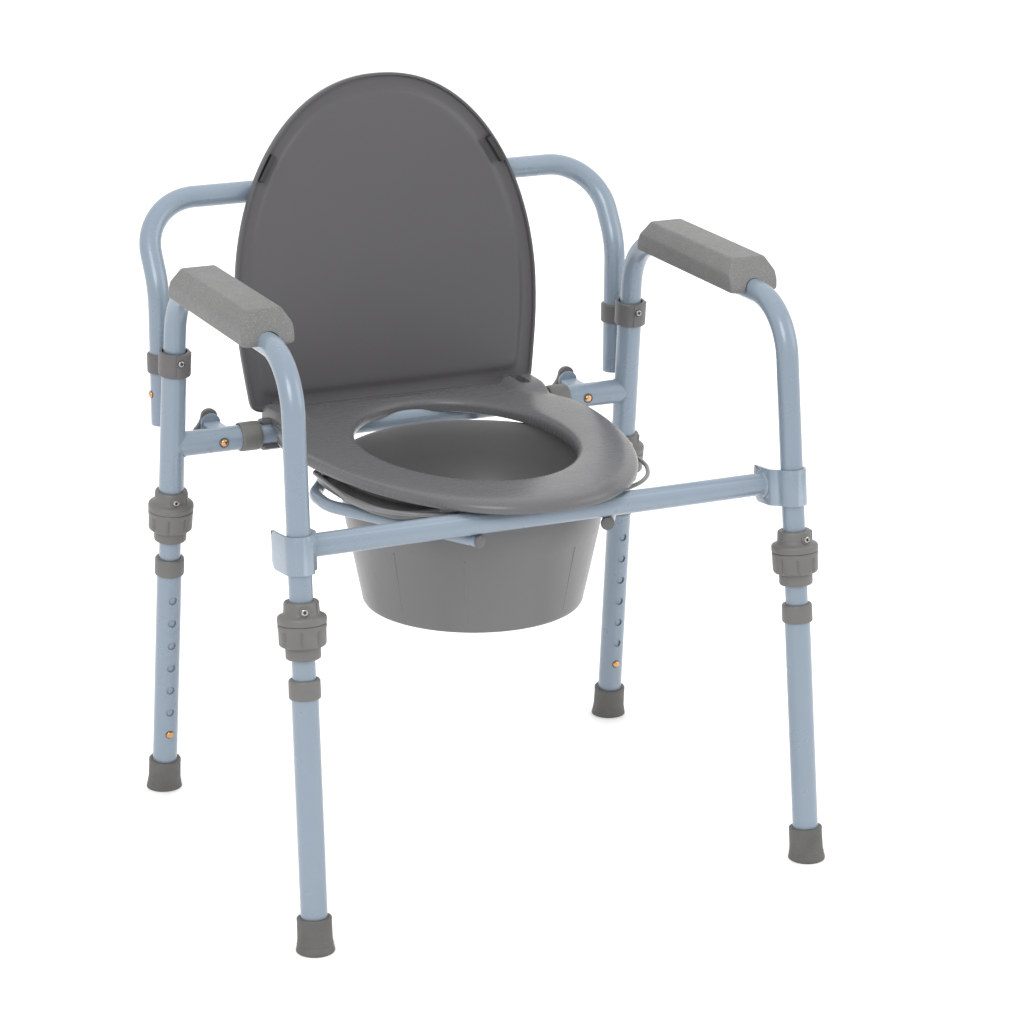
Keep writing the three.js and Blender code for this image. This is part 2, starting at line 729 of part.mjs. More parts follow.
function buildLid() {
  const group = new THREE.Group();
  group.position.set(0, HINGE_Y, STUB_Z);
  group.rotation.x = Math.PI / 2 - LID_TILT;
  chair.add(group);
  add(group, "lid", lidGeometry(), PLASTIC);
  for (const { side, word } of SIDES) {
    add(group, `lid_bumper_${word}`, bumperGeometry(side), DARK_RUBBER);
  }
}

// ---- Pail and bail ----
const PAIL_BOTTOM = 240;
const PAIL_RIM = 385.5;
const WING_TOP = 376;
const WING_LOW = RAIL_Z + RAIL_R + 0.4;
const BAIL_Y = 30;
const BAIL_Z = 379.5;
const BAIL_R = 2.2;

function wingOutline() {
  const right = [[96, -116], [124, -110], [139, -84], [149, -40], [152, 16], [149, 42], [120, 70]];
  const points = right.map(([x, y]) => new THREE.Vector2(x, y));
  for (const [x, y] of right.reverse()) points.push(new THREE.Vector2(-x, y));
  return points;
}

function pailGeometry() {
  const outside = [
    [0, PAIL_BOTTOM],
    [108.5, PAIL_BOTTOM],
    [111.2, PAIL_BOTTOM + 3],
    [126.8, 321],
    [131.2, 348],
    [131.8, WING_LOW],
    [137, WING_LOW],
    [137.5, WING_LOW + 1.5],
    [136.6, WING_TOP],
    [136.6, PAIL_RIM - 1.6],
    [135.4, PAIL_RIM],
    [133.6, PAIL_RIM],
    [132.6, PAIL_RIM - 1.6],
    [130.8, WING_TOP - 6],
    [128.6, 350],
    [124.2, 322],
    [108.6, PAIL_BOTTOM + 4.5],
    [106.5, PAIL_BOTTOM + 3],
    [0, PAIL_BOTTOM + 3],
  ];
  const tub = turned(outside, 28).translate(0, PAIL_Y, 0);
  const opening = slab(circle(133.5, 28), 300, 400).translate(0, PAIL_Y, 0);
  const wing = cut(slab(wingOutline(), WING_TOP - 9, WING_TOP), opening);
  const lugs = SIDES.map(({ side }) => {
    const lug = box(side * 144, side * 148, BAIL_Y - 6, BAIL_Y + 6, WING_TOP - 4, BAIL_Z + 5);
    const drill = rod(BAIL_R + 0.5, -10, 10, 12).rotateY(Math.PI / 2);
    return cut(lug, drill.translate(side * 146, BAIL_Y, BAIL_Z));
  });
  return join(tub, wing, ...lugs);
}

function bailGeometry() {
  const corners = [
    [-141, BAIL_Y],
    [-155.5, BAIL_Y],
    [-158.5, -76],
    [-136, -126],
    [-86, -149.5],
    [86, -149.5],
    [136, -126],
    [158.5, -76],
    [155.5, BAIL_Y],
    [141, BAIL_Y],
  ].map(([x, y]) => new THREE.Vector3(x, y, BAIL_Z));
  return tubeAlong(rounded(corners, [4.5, 80, 80, 80, 80, 80, 80, 4.5], 2), BAIL_R, 0, 6);
}

// ---- Put together ----
function stubButton(side) {
  const button = buttonGeometry(THIN_WALL_R - 1, TUBE_R + 2.6).rotateX(Math.PI / 2);
  return button.translate(side * 204.6, HINGE_Y, STUB_Z);
}

function railButton(side) {
  const button = buttonGeometry(THIN_WALL_R - 1, THIN_R + 2.4).rotateY((side * Math.PI) / 2);
  return button.translate(side * BACK_X, BACK_Y, CLIP_Z - 42);
}

for (const one of SIDES) {
  const { side, word } = one;
  add(chair, `rear_upright_${word}`, uprightGeometry(side), POWDER);
  const arm = tubeAlong(armStations(side), THIN_R, THIN_WALL_R);
  add(chair, `arm_tube_${word}`, cut(arm, buttonHole(FRONT_FOOT, side)), POWDER);
  add(chair, `arm_pad_${word}`, padGeometry(side), PAD_GREY);
  add(chair, `tube_clip_${word}`, clipGeometry(side), PLASTIC);
  add(chair, `stub_cap_${word}`, stubCapGeometry(side), COLLAR_GREY);
  add(chair, `storage_hook_${word}`, hookGeometry(side), PLASTIC);
  add(chair, `pail_rail_${word}`, tubeAlong(railStations(side), RAIL_R, 0, 8), POWDER);
  add(chair, `rail_plug_${word}`, plugGeometry(side), PLASTIC);
  add(chair, `stub_button_${word}`, stubButton(side), BRASS);
  add(chair, `rail_button_${word}`, railButton(side), BRASS);
  const inner = [onLeg(REAR_FOOT, side, INNER_END), onLeg(REAR_FOOT, side, 405)];
  const innerLeg = tubeAlong(inner, THIN_R, THIN_WALL_R);
  add(chair, `rear_inner_leg_${word}`, cut(innerLeg, buttonHole(REAR_FOOT, side)), POWDER);
  buildLeg("front", FRONT_FOOT, one);
  buildLeg("rear", REAR_FOOT, one);
  buildBracket(side);
}
add(chair, "back_rail", backRailGeometry(), POWDER);
add(chair, "cross_tube", crossTubeGeometry(), POWDER);
add(chair, "front_bar", barAlong(THIN_R, THIN_WALL_R), POWDER);
add(chair, "seat", seatGeometry(), PLASTIC);
buildLid();
add(chair, "pail", pailGeometry(), PLASTIC);
add(chair, "bail", bailGeometry(), PLASTIC);

export default chair;
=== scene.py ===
"""Looks for the commode chair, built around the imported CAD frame. Lengths below are in mm."""

import math

import bmesh
import bpy
import numpy as np
from mathutils import Matrix, Vector


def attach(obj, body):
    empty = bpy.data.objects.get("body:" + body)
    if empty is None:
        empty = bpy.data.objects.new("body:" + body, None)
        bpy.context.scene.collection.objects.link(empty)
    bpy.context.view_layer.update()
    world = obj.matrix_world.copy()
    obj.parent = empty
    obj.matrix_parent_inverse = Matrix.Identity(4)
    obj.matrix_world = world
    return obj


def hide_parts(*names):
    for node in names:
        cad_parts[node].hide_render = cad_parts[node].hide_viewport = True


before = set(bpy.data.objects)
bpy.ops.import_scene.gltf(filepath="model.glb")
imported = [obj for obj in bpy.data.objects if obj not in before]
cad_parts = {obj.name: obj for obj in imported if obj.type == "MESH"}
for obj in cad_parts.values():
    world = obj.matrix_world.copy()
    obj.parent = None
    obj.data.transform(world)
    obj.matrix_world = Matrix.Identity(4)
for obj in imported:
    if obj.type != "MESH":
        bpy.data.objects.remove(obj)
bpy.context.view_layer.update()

MM = 0.001
SIDES = ((-1, "left"), (1, "right"))

MERGE = 0.005   # points closer than this become one
POLE_R = 1e-4   # the radius that stands for a pole
STAND_UP = Matrix.Rotation(math.pi / 2, 4, "X")

# ---- The chair's driving dimensions, as in the CAD ----
# radii of the wide tubes, the thin tubes and their bore, the pail's rails and the snap buttons
TUBE_R, THIN_R, THIN_BORE, RAIL_R, BUTTON_R = 12.7, 11.1, 9.9, 6.3, 3.8
# a leg's axis at the floor, its drift towards the middle and along Y for each mm of height, and
# the way its snap button faces along Y
FRONT = dict(x=264.3, y=-236.8, toe=0.015, lean=0.116, facing=1)
REAR = dict(x=260.4, y=200.1, toe=0.013, lean=-0.099, facing=-1)
INNER_LEG_LOW = 50.0
ARM_Z, ARM_BEND = 556.0, 60.0
STUB_Z = 382.5
HINGE_Y = REAR["y"] + REAR["lean"] * STUB_Z
TAB_X, STUB_BUTTON_X = 202.4, 204.6
CLIP_Z, CLIP_DROP = 471.0, 9.5
RAIL_BUTTON_Z = CLIP_Z - 42
BAR_Y, BAR_Z = -170.2, 375.6
BACK_X, BACK_Y = 255.0, 193.0
RAIL_Z = 357.8
FIRST_HOLE, HOLE_PITCH, HOLES = 64.9, 25.4, 7
PAIL_Y = -8.0
BAIL_Y, BAIL_Z = 30.0, 379.5


# ---- Camera ----
def aim_camera():
    azimuth, elevation, roll = map(math.radians, (-25.089, 17.929, 0.445))
    target, distance = Vector((0.013159, -0.0715, 0.346353)), 3.314934
    out = Vector((math.sin(azimuth) * math.cos(elevation),
                  -math.cos(azimuth) * math.cos(elevation), math.sin(elevation)))
    right = Vector((math.cos(azimuth), math.sin(azimuth), 0))
    up = out.cross(right)
    right, up = (right * math.cos(roll) + up * math.sin(roll),
                 up * math.cos(roll) - right * math.sin(roll))
    data = bpy.data.cameras.new("camera")
    data.sensor_width = 36
    data.lens = 118.658
    data.clip_end = 100
    camera = bpy.data.objects.new("camera", data)
    place = Matrix((right, up, out)).transposed().to_4x4()
    place.translation = target + out * distance
    camera.matrix_world = place
    bpy.context.collection.objects.link(camera)
    bpy.context.scene.camera = camera


aim_camera()


# ---- Mesh helpers ----
class Build:
    """Collects vertices (mm) and faces for one piece."""

    def __init__(self):
        self.verts = []
        self.faces = []

    def add(self, verts, faces):
        base = len(self.verts)
        self.verts += [tuple(v) for v in verts]
        self.faces += [tuple(base + i for i in f) for f in faces]
        return self

    def move(self, matrix):
        self.verts = [tuple(matrix @ Vector(v)) for v in self.verts]
        return self

    def join(self, other):
        return self.add(other.verts, other.faces)


def rings(loops, close=False, cap_start=False, cap_end=False):
    """Skins a list of equal-length closed loops of points."""
    n = len(loops[0])
    verts = [p for loop in loops for p in loop]
    faces = []
    count = len(loops)
    for i in range(count if close else count - 1):
        a, b = i * n, ((i + 1) % count) * n
        for k in range(n):
            m = (k + 1) % n
            faces.append((a + k, a + m, b + m, b + k))
    if cap_start:
        faces.append(tuple(range(n))[::-1])
    if cap_end:
        faces.append(tuple((count - 1) * n + k for k in range(n)))
    return Build().add(verts, faces)


def turns(count):
    """Evenly spaced angles round a circle."""
    return [2 * math.pi * k / count for k in range(count)]


def arc(radius, start, end, steps, y=0.0):
    """Points on a circle about (0, y), from one angle in degrees to another."""
    angles = [math.radians(start + (end - start) * k / steps) for k in range(steps + 1)]
    return [(radius * math.cos(a), y + radius * math.sin(a)) for a in angles]


def lathe(profile, sides=48, close=False):
    """Turns (radius, height) pairs about Z; radius 0 makes a pole."""
    loops = []
    for radius, z in profile:
        r = max(radius, POLE_R)
        loops.append([(r * math.cos(a), r * math.sin(a), z) for a in turns(sides)])
    return rings(loops, close=close)


def rounded(corners, radius, steps=14):
    """A path that turns each inner corner with an arc; `radius` is one value or one per corner."""
    corners = [Vector(c) for c in corners]
    out = [corners[0]]
    for i in range(1, len(corners) - 1):
        c = corners[i]
        a, b = (corners[i - 1] - c).normalized(), (corners[i + 1] - c).normalized()
        half = a.angle(b) / 2
        r = radius[i - 1] if isinstance(radius, (list, tuple)) else radius
        centre = c + (a + b).normalized() * (r / math.sin(half))
        start = c + a * (r / math.tan(half)) - centre
        end = c + b * (r / math.tan(half)) - centre
        sweep = start.angle(end)
        for k in range(steps + 1):
            t = k / steps
            p = start * math.sin((1 - t) * sweep) + end * math.sin(t * sweep)
            out.append(centre + p / math.sin(sweep))
    out.append(corners[-1])
    return out


def frames(points):
    """A tangent and two normals at each point, carried along without twist."""
    tangents = []
    for i, p in enumerate(points):
        before = (p - points[i - 1]).normalized() if i else Vector()
        after = (points[i + 1] - p).normalized() if i < len(points) - 1 else Vector()
        tangents.append((before + after).normalized())
    normal = tangents[0].orthogonal().normalized()
    result = []
    for t in tangents:
        normal = (normal - t * normal.dot(t)).normalized()
        result.append((t, normal, t.cross(normal)))
    return result


def tube(points, radius, bore=0.0, sides=40, depth=40.0, ease=0.7):
    """A round tube or rod with eased ends; a bore shows as a hole of the given depth."""
    points = [Vector(p) for p in points]
    base = frames(points)

    def loop(i, r, slide):
        t, n, b = base[i]
        c = points[i] + t * slide
        return [c + n * (r * math.cos(a)) + b * (r * math.sin(a)) for a in turns(sides)]

    last = len(points) - 1
    loops = []
    if bore:
        loops += [loop(0, bore, depth), loop(0, bore, ease)]
        loops += [loop(0, bore + ease * 0.5, 0)]
    loops += [loop(0, radius - ease, 0), loop(0, radius, ease)]
    loops += [loop(i, radius, 0) for i in range(1, last)]
    loops += [loop(last, radius, -ease), loop(last, radius - ease, 0)]
    if bore:
        loops += [loop(last, bore + ease * 0.5, 0), loop(last, bore, -ease)]
        loops += [loop(last, bore, -depth)]
    return rings(loops, cap_start=True, cap_end=True)


def box(lo, hi):
    (x0, y0, z0), (x1, y1, z1) = lo, hi
    loop = [(x0, y0), (x1, y0), (x1, y1), (x0, y1)]
    return rings([[(x, y, z) for x, y in loop] for z in (z0, z1)], cap_start=True, cap_end=True)


def plate(outline, low, high, ease=0.0, steps=3):
    """A flat outline given thickness in Z, its edges eased by a fine round."""
    outline = [Vector((p[0], p[1])) for p in outline]
    area = sum(outline[i - 1].x * outline[i].y - outline[i].x * outline[i - 1].y
               for i in range(len(outline)))
    if area < 0:
        outline.reverse()

    def inset(d):
        n = len(outline)
        out = []
        for i, p in enumerate(outline):
            a, b = (p - outline[i - 1]).normalized(), (outline[(i + 1) % n] - p).normalized()
            na, nb = Vector((-a.y, a.x)), Vector((-b.y, b.x))
            m = na + nb
            out.append(p + m * (d / max(m.dot(na), 0.5)))
        return out

    if ease:
        angles = [math.pi / 2 * k / steps for k in range(steps + 1)]
        rise = [(ease * (1 - math.sin(a)), inset(ease * (1 - math.cos(a)))) for a in angles]
        loops = [[(p.x, p.y, low + dz) for p in level] for dz, level in rise[::-1]]
        loops += [[(p.x, p.y, high - dz) for p in level] for dz, level in rise]
    else:
        loops = [[(p.x, p.y, z) for p in outline] for z in (low, high)]
    return rings(loops, cap_start=True, cap_end=True)


def shade(mesh, angle):
    """Smooth shading, with edges turning by more than `angle` degrees left sharp."""
    mesh.polygons.foreach_set("use_smooth", [True] * len(mesh.polygons))
    mesh.set_sharp_from_angle(angle=math.radians(angle))


def finish_mesh(name, build, angle=35.0):
    """Makes an object from a build, its doubled points merged and its faces turned outwards."""
    mesh = bpy.data.meshes.new(name)
    verts = [(x * MM, y * MM, z * MM) for x, y, z in build.verts]
    mesh.from_pydata(verts, [], build.faces)
    bm = bmesh.new()
    bm.from_mesh(mesh)
    bmesh.ops.remove_doubles(bm, verts=bm.verts, dist=MERGE * MM)
    bmesh.ops.recalc_face_normals(bm, faces=bm.faces)
    bm.to_mesh(mesh)
    bm.free()
    shade(mesh, angle)
    obj = bpy.data.objects.new(name, mesh)
    bpy.context.collection.objects.link(obj)
    return obj


def carry(obj, place):
    """Moves a finished mesh by a placement given in mm."""
    obj.data.transform(Matrix.Scale(MM, 4) @ place @ Matrix.Scale(1 / MM, 4))
    return obj


def bake(obj, angle=35.0):
    """Applies an object's modifiers to its mesh."""
    bpy.context.view_layer.update()
    evaluated = obj.evaluated_get(bpy.context.evaluated_depsgraph_get())
    mesh = bpy.data.meshes.new_from_object(evaluated)
    obj.modifiers.clear()
    old = obj.data
    obj.data = mesh
    bpy.data.meshes.remove(old)
    shade(mesh, angle)
    return obj


def carve(obj, cutters, operation="DIFFERENCE", angle=35.0):
    """Cuts (or joins) builds from a piece with exact booleans."""
    tools = []
    for i, build in enumerate(cutters):
        tool = finish_mesh(f"{obj.name}_cut{i}", build)
        modifier = obj.modifiers.new(f"cut{i}", "BOOLEAN")
        modifier.operation = operation
        modifier.solver = "EXACT"
        modifier.object = tool
        tools.append(tool)
    bake(obj, angle)
    for tool in tools:
        bpy.data.objects.remove(tool)
    return obj


def bevel(obj, width, segments=3, limit=30.0, angle=40.0):
    """Rounds the edges that turn by more than `limit` degrees."""
    modifier = obj.modifiers.new("bevel", "BEVEL")
    modifier.width = width * MM
    modifier.segments = segments
    modifier.limit_method = "ANGLE"
    modifier.angle_limit = math.radians(limit)
    return bake(obj, angle)


# ---- Materials ----
def ramp(nodes, stops):
    """A colour ramp; each stop is a position with a colour or a grey level."""
    node = nodes.new("ShaderNodeValToRGB")
    elements = node.color_ramp.elements
    while len(elements) < len(stops):
        elements.new(0.5)
    for element, (position, colour) in zip(elements, stops):
        element.position = position
        element.color = (*colour, 1) if isinstance(colour, (tuple, list)) else (colour,) * 3 + (1,)
    return node


def surface(name, dark, light, rough, patch=14.0, bumps=(), metallic=0.0, coat=0.0, coat_rough=0.1,
            wear=None, scuffs=0.0, specks=None, specular=0.5):
    """A procedural finish: patchy colour, uneven roughness, layered bump, pale worn edges and scuffs."""
    material = bpy.data.materials.new(name)
    material.use_nodes = True
    nodes, links = material.node_tree.nodes, material.node_tree.links
    shader = nodes["Principled BSDF"]
    shader.inputs["Metallic"].default_value = metallic
    shader.inputs["Coat Weight"].default_value = coat
    shader.inputs["Coat Roughness"].default_value = coat_rough
    shader.inputs["Specular IOR Level"].default_value = specular
    where = nodes.new("ShaderNodeTexCoord").outputs["Object"]

    def noise(scale, detail=3.0, distortion=0.0):
        node = nodes.new("ShaderNodeTexNoise")
        node.inputs["Scale"].default_value = scale
        node.inputs["Detail"].default_value = detail
        node.inputs["Distortion"].default_value = distortion
        links.new(where, node.inputs["Vector"])
        return node.outputs["Fac"]

    tone = ramp(nodes, [(0.3, dark), (0.7, light)])
    links.new(noise(patch, 5.0, 0.4), tone.inputs["Fac"])
    colour = tone.outputs["Color"]

    def mix_in(mask, tint, current):
        node = nodes.new("ShaderNodeMix")
        node.data_type = "RGBA"
        node.inputs["B"].default_value = (*tint, 1)
        links.new(mask, node.inputs["Factor"])
        links.new(current, node.inputs["A"])
        return node.outputs["Result"]

    if specks:
        scale, tint, low, high = specks
        dots = nodes.new("ShaderNodeTexVoronoi")
        dots.inputs["Scale"].default_value = scale
        links.new(where, dots.inputs["Vector"])
        mask = ramp(nodes, [(low, 0.8), (high, 0.0)])
        links.new(dots.outputs["Distance"], mask.inputs["Fac"])
        colour = mix_in(mask.outputs["Color"], tint, colour)
    if wear:
        edge = nodes.new("ShaderNodeNewGeometry").outputs["Pointiness"]
        mask = ramp(nodes, [(0.56, 0.0), (0.70, 0.5)])
        links.new(edge, mask.inputs["Fac"])
        colour = mix_in(mask.outputs["Color"], wear, colour)
    links.new(colour, shader.inputs["Base Color"])

    gloss = ramp(nodes, [(0.3, rough[0]), (0.75, rough[1])])
    links.new(noise(patch * 6, 6.0), gloss.inputs["Fac"])
    roughness = gloss.outputs["Color"]
    if scuffs:
        streak = nodes.new("ShaderNodeTexNoise")
        streak.inputs["Scale"].default_value = 30
        streak.inputs["Detail"].default_value = 8
        stretch = nodes.new("ShaderNodeMapping")
        stretch.inputs["Scale"].default_value = (1, 9, 3)
        stretch.inputs["Rotation"].default_value = (0.4, 0.3, 0.9)
        links.new(where, stretch.inputs["Vector"])
        links.new(stretch.outputs["Vector"], streak.inputs["Vector"])
        mask = ramp(nodes, [(0.5, 0.0), (0.85, scuffs)])
        links.new(streak.outputs["Fac"], mask.inputs["Fac"])
        add = nodes.new("ShaderNodeMath")
        add.operation = "ADD"
        add.use_clamp = True
        links.new(roughness, add.inputs[0])
        links.new(mask.outputs["Color"], add.inputs[1])
        roughness = add.outputs["Value"]
    links.new(roughness, shader.inputs["Roughness"])

    previous = None
    for kind, scale, strength, distance in bumps:
        node = nodes.new("ShaderNodeBump")
        node.inputs["Strength"].default_value = strength
        node.inputs["Distance"].default_value = distance * MM
        if kind == "noise":
            links.new(noise(scale, 2.0), node.inputs["Height"])
        else:
            cells = nodes.new("ShaderNodeTexVoronoi")
            cells.feature = "SMOOTH_F1"
            cells.inputs["Scale"].default_value = scale
            links.new(where, cells.inputs["Vector"])
            links.new(cells.outputs["Distance"], node.inputs["Height"])
        if previous:
            links.new(previous, node.inputs["Normal"])
        previous = node.outputs["Normal"]
    if previous:
        links.new(previous, shader.inputs["Normal"])
    return material


POWDER = surface("powder_blue", (0.190, 0.238, 0.292), (0.200, 0.250, 0.306), (0.26, 0.32), patch=6,
                 bumps=(("noise", 1300, 0.03, 0.03), ("noise", 3000, 0.03, 0.02)), coat=0.3,
                 coat_rough=0.12, wear=(0.33, 0.39, 0.45), scuffs=0.03, metallic=0.1)
SEAT = surface("seat_plastic", (0.104, 0.103, 0.106), (0.111, 0.110, 0.113), (0.25, 0.29), patch=4,
               bumps=(("noise", 1400, 0.03, 0.03),), wear=(0.16, 0.16, 0.16), scuffs=0.05, specular=0.4)
LID = surface("lid_plastic", (0.076, 0.073, 0.077), (0.082, 0.079, 0.083), (0.36, 0.42), patch=4,
              bumps=(("noise", 1800, 0.05, 0.04),), wear=(0.13, 0.13, 0.13), scuffs=0.05, specular=0.4)
PAIL = surface("pail_plastic", (0.118, 0.117, 0.119), (0.126, 0.125, 0.127), (0.32, 0.38), patch=4,
               bumps=(("noise", 1200, 0.04, 0.05),), wear=(0.18, 0.18, 0.18), scuffs=0.06)
COLLAR = surface("collar_plastic", (0.112, 0.110, 0.105), (0.128, 0.126, 0.120), (0.40, 0.52), patch=30,
                 bumps=(("noise", 1600, 0.15, 0.10),), wear=(0.20, 0.20, 0.19), scuffs=0.1)
CLIP = surface("clip_plastic", (0.098, 0.094, 0.096), (0.112, 0.108, 0.110), (0.36, 0.48), patch=30,
               bumps=(("noise", 1600, 0.15, 0.10),), wear=(0.18, 0.18, 0.18), scuffs=0.1)
PAD = surface("pad_grip", (0.130, 0.130, 0.127), (0.145, 0.145, 0.142), (0.50, 0.62), patch=20,
              bumps=(("cells", 620, 0.55, 0.35), ("noise", 2400, 0.25, 0.10)),
              specks=(620, (0.235, 0.235, 0.23), 0.10, 0.42), wear=(0.24, 0.24, 0.235))
RUBBER = surface("tip_rubber", (0.080, 0.077, 0.073), (0.098, 0.095, 0.090), (0.55, 0.70), patch=40,
                 bumps=(("noise", 1400, 0.25, 0.15),), wear=(0.15, 0.145, 0.14), scuffs=0.15)
BRASS = surface("button_brass", (0.55, 0.29, 0.12), (0.68, 0.40, 0.20), (0.16, 0.26), patch=120,
                bumps=(("noise", 2600, 0.08, 0.05),), metallic=1.0, wear=(0.85, 0.62, 0.42))
STEEL = surface("screw_steel", (0.30, 0.30, 0.30), (0.40, 0.40, 0.39), (0.22, 0.34), patch=150,
                bumps=(("noise", 3000, 0.10, 0.04),), metallic=1.0)
# dark rubber for the seat's feet and the lid's bumpers, and also the colour of the painted shade round the
# screws and in the stubs' button holes
DARK = surface("dark_rubber_and_painted_shade", (0.018, 0.018, 0.019), (0.030, 0.030, 0.031), (0.5, 0.65), patch=60,
               bumps=(("noise", 1800, 0.2, 0.1),))
WIRE = surface("wire_coat", (0.14, 0.14, 0.142), (0.18, 0.18, 0.182), (0.28, 0.38), patch=30,
               bumps=(("noise", 1500, 0.1, 0.06),))


def piece(name, build, material, body, nodes=(), angle=35.0):
    """Puts one finished piece on its body, in place of its CAD nodes."""
    obj = build if isinstance(build, bpy.types.Object) else finish_mesh(name, build, angle)
    obj.name = name
    obj.data.materials.clear()
    obj.data.materials.append(material)
    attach(obj, body)
    if nodes:
        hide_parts(*nodes)
    return obj


# ---- Shared placements ----
def on_leg(foot, side, z):
    """The point at height z on a leg's axis."""
    return Vector((side * (foot["x"] - foot["toe"] * z), foot["y"] + foot["lean"] * z, z))


def leg_matrix(foot, side):
    """Stands local Z along a leg, from the floor up."""
    up = (on_leg(foot, side, 1) - on_leg(foot, side, 0)).normalized()
    turn = Vector((0, 0, 1)).rotation_difference(up).to_matrix().to_4x4()
    return Matrix.Translation(on_leg(foot, side, 0)) @ turn


def point_to(at, direction):
    """Puts local Z at a point, along a direction."""
    turn = Vector((0, 0, 1)).rotation_difference(Vector(direction).normalized())
    return Matrix.Translation(Vector(at)) @ turn.to_matrix().to_4x4()


def dome(radius, base, height, steps=6):
    """The profile of a snap button, its head a flattened round."""
    crown = radius * 0.55
    out = [(0, base), (radius, base), (radius, height - crown)]
    for k in range(1, steps + 1):
        a = math.pi / 2 * k / steps
        out.append((radius * math.cos(a), height - crown * (1 - math.sin(a))))
    return out


def screw(radius=3.3, socket=1.5):
    """A pan-head screw with a hex socket, standing on local z = 0."""
    head = [(0, -2), (radius, -2), (radius, 0.9), (radius * 0.93, 1.5), (radius * 0.75, 1.9),
            (socket + 0.25, 2.0), (socket, 1.8), (socket * 0.96, 0.3), (0, 0.2)]
    return lathe(head, 24)


def put_screw(name, place, body, radius=3.3):
    piece(name, screw(radius).move(place), STEEL, body)
    # painted shadows: a dark disc for the shadow in the socket, and a dark ring for the one round the head
    dark = lathe([(0, 0.28), (1.35, 0.28), (1.35, 0.75), (0, 0.75)], 6)
    inner, outer = radius + 0.05, radius + 0.75
    dark.join(lathe([(inner, -0.2), (outer, -0.2), (outer, 0.12), (inner, 0.12)], 28, close=True))
    piece(f"{name}_socket", dark.move(place), DARK, body)


def snap_button(name, base, height, place, body):
    """A button standing out of a tube; `place` has its Z along the button."""
    piece(name, lathe(dome(BUTTON_R, base, height), 28).move(place), BRASS, body, [body])


# ---- Tubes of the frame ----
def button_hole(place):
    """The cutter for a snap button's hole, starting inside the tube."""
    return tube([(0, 0, 6), (0, 0, 22)], BUTTON_R + 0.4, 0, 32, ease=0.1).move(place)


def on_leg_button(foot, side):
    return leg_matrix(foot, side) @ point_to((0, 0, FIRST_HOLE), (0, foot["facing"], 0))


def on_stub_button(side):
    return point_to((side * STUB_BUTTON_X, HINGE_Y, STUB_Z), (0, -1, 0))


def on_rail_button(side):
    return point_to((side * BACK_X, BACK_Y, RAIL_BUTTON_Z), (side, 0, 0))


def arm_tube(side, word):
    corners = [on_leg(REAR, side, 425), on_leg(REAR, side, ARM_Z),
               on_leg(FRONT, side, ARM_Z), on_leg(FRONT, side, INNER_LEG_LOW)]
    obj = finish_mesh("arm", tube(rounded(corners, ARM_BEND, 20), THIN_R, THIN_BORE))
    carve(obj, [button_hole(on_leg_button(FRONT, side))])
    piece(f"arm_{word}", obj, POWDER, "frame", [f"arm_tube_{word}"])


def weld_bead(centre, axis, across, radius, bead=0.9, sides=96, section=10):
    """The soft saddle-shaped bead where a stub meets an upright of the same size."""
    centre = Vector(centre)
    axis, across = Vector(axis).normalized(), Vector(across).normalized()
    third = axis.cross(across).normalized()
    points = []
    for a in turns(sides):
        along, aside = radius * math.cos(a), radius * 0.97 * math.sin(a)
        reach = math.sqrt(radius ** 2 - aside ** 2)
        points.append(centre + across * (reach + 0.15) + axis * along + third * aside)
    loops = []
    for k, p in enumerate(points):
        t = (points[(k + 1) % sides] - points[k - 1]).normalized()
        n = (p - centre - across * (p - centre).dot(across)).normalized()
        n = (n - t * n.dot(t)).normalized()
        b = t.cross(n)
        loops.append([p + n * (bead * math.cos(c)) + b * (bead * math.sin(c)) for c in turns(section)])
    return rings(loops, close=True)


def rear_upright(side, word):
    """The upright with its welded stub, and the arm and tab that hold the storage hook."""
    low, high = on_leg(REAR, side, 316), on_leg(REAR, side, 478)
    post = tube([low, high], TUBE_R, 11.6, 48, depth=12)
    root = on_leg(REAR, side, STUB_Z)
    end = Vector((side * 165.6, HINGE_Y, STUB_Z))
    stub = tube([root, end], TUBE_R, 0, 48)
    bead = weld_bead(root, (0, 0, 1), (-side, 0, 0), TUBE_R)
    arm_lo = (side * TAB_X - 8.5, HINGE_Y + 5, STUB_Z + 7)
    arm_hi = (side * TAB_X + 8.5, HINGE_Y + 33, STUB_Z + 10)
    tab = plate([(-10.5, 3), (10.5, 3)] + arc(10.5, 0, 180, 16, y=8), 0, 3, 0.6)
    tab.move(Matrix.Translation((side * TAB_X, HINGE_Y + 34.5, STUB_Z)) @ STAND_UP)
    obj = finish_mesh("upright", post.join(stub).join(bead).join(box(arm_lo, arm_hi)).join(tab))
    piece(f"upright_{word}", obj, POWDER, "frame", [f"rear_upright_{word}"])
    # painted shade: a thin dark ring on the stub round its button, standing for the dark inside of the stub's
    # hole
    hole_shade = lathe([(4.5, 0), (5.2, 0), (5.2, 0.25), (4.5, 0.25)], 24, close=True)
    at = (side * STUB_BUTTON_X, HINGE_Y - TUBE_R + 0.05, STUB_Z)
    piece(f"stub_hole_{word}", hole_shade.move(point_to(at, (0, -1, 0))), DARK, "frame")


def inner_leg(side, word):
    path = [on_leg(REAR, side, INNER_LEG_LOW), on_leg(REAR, side, 405)]
    obj = finish_mesh("inner", tube(path, THIN_R, THIN_BORE))
    carve(obj, [button_hole(on_leg_button(REAR, side))])
    piece(f"inner_leg_{word}", obj, POWDER, "frame", [f"rear_inner_leg_{word}"])


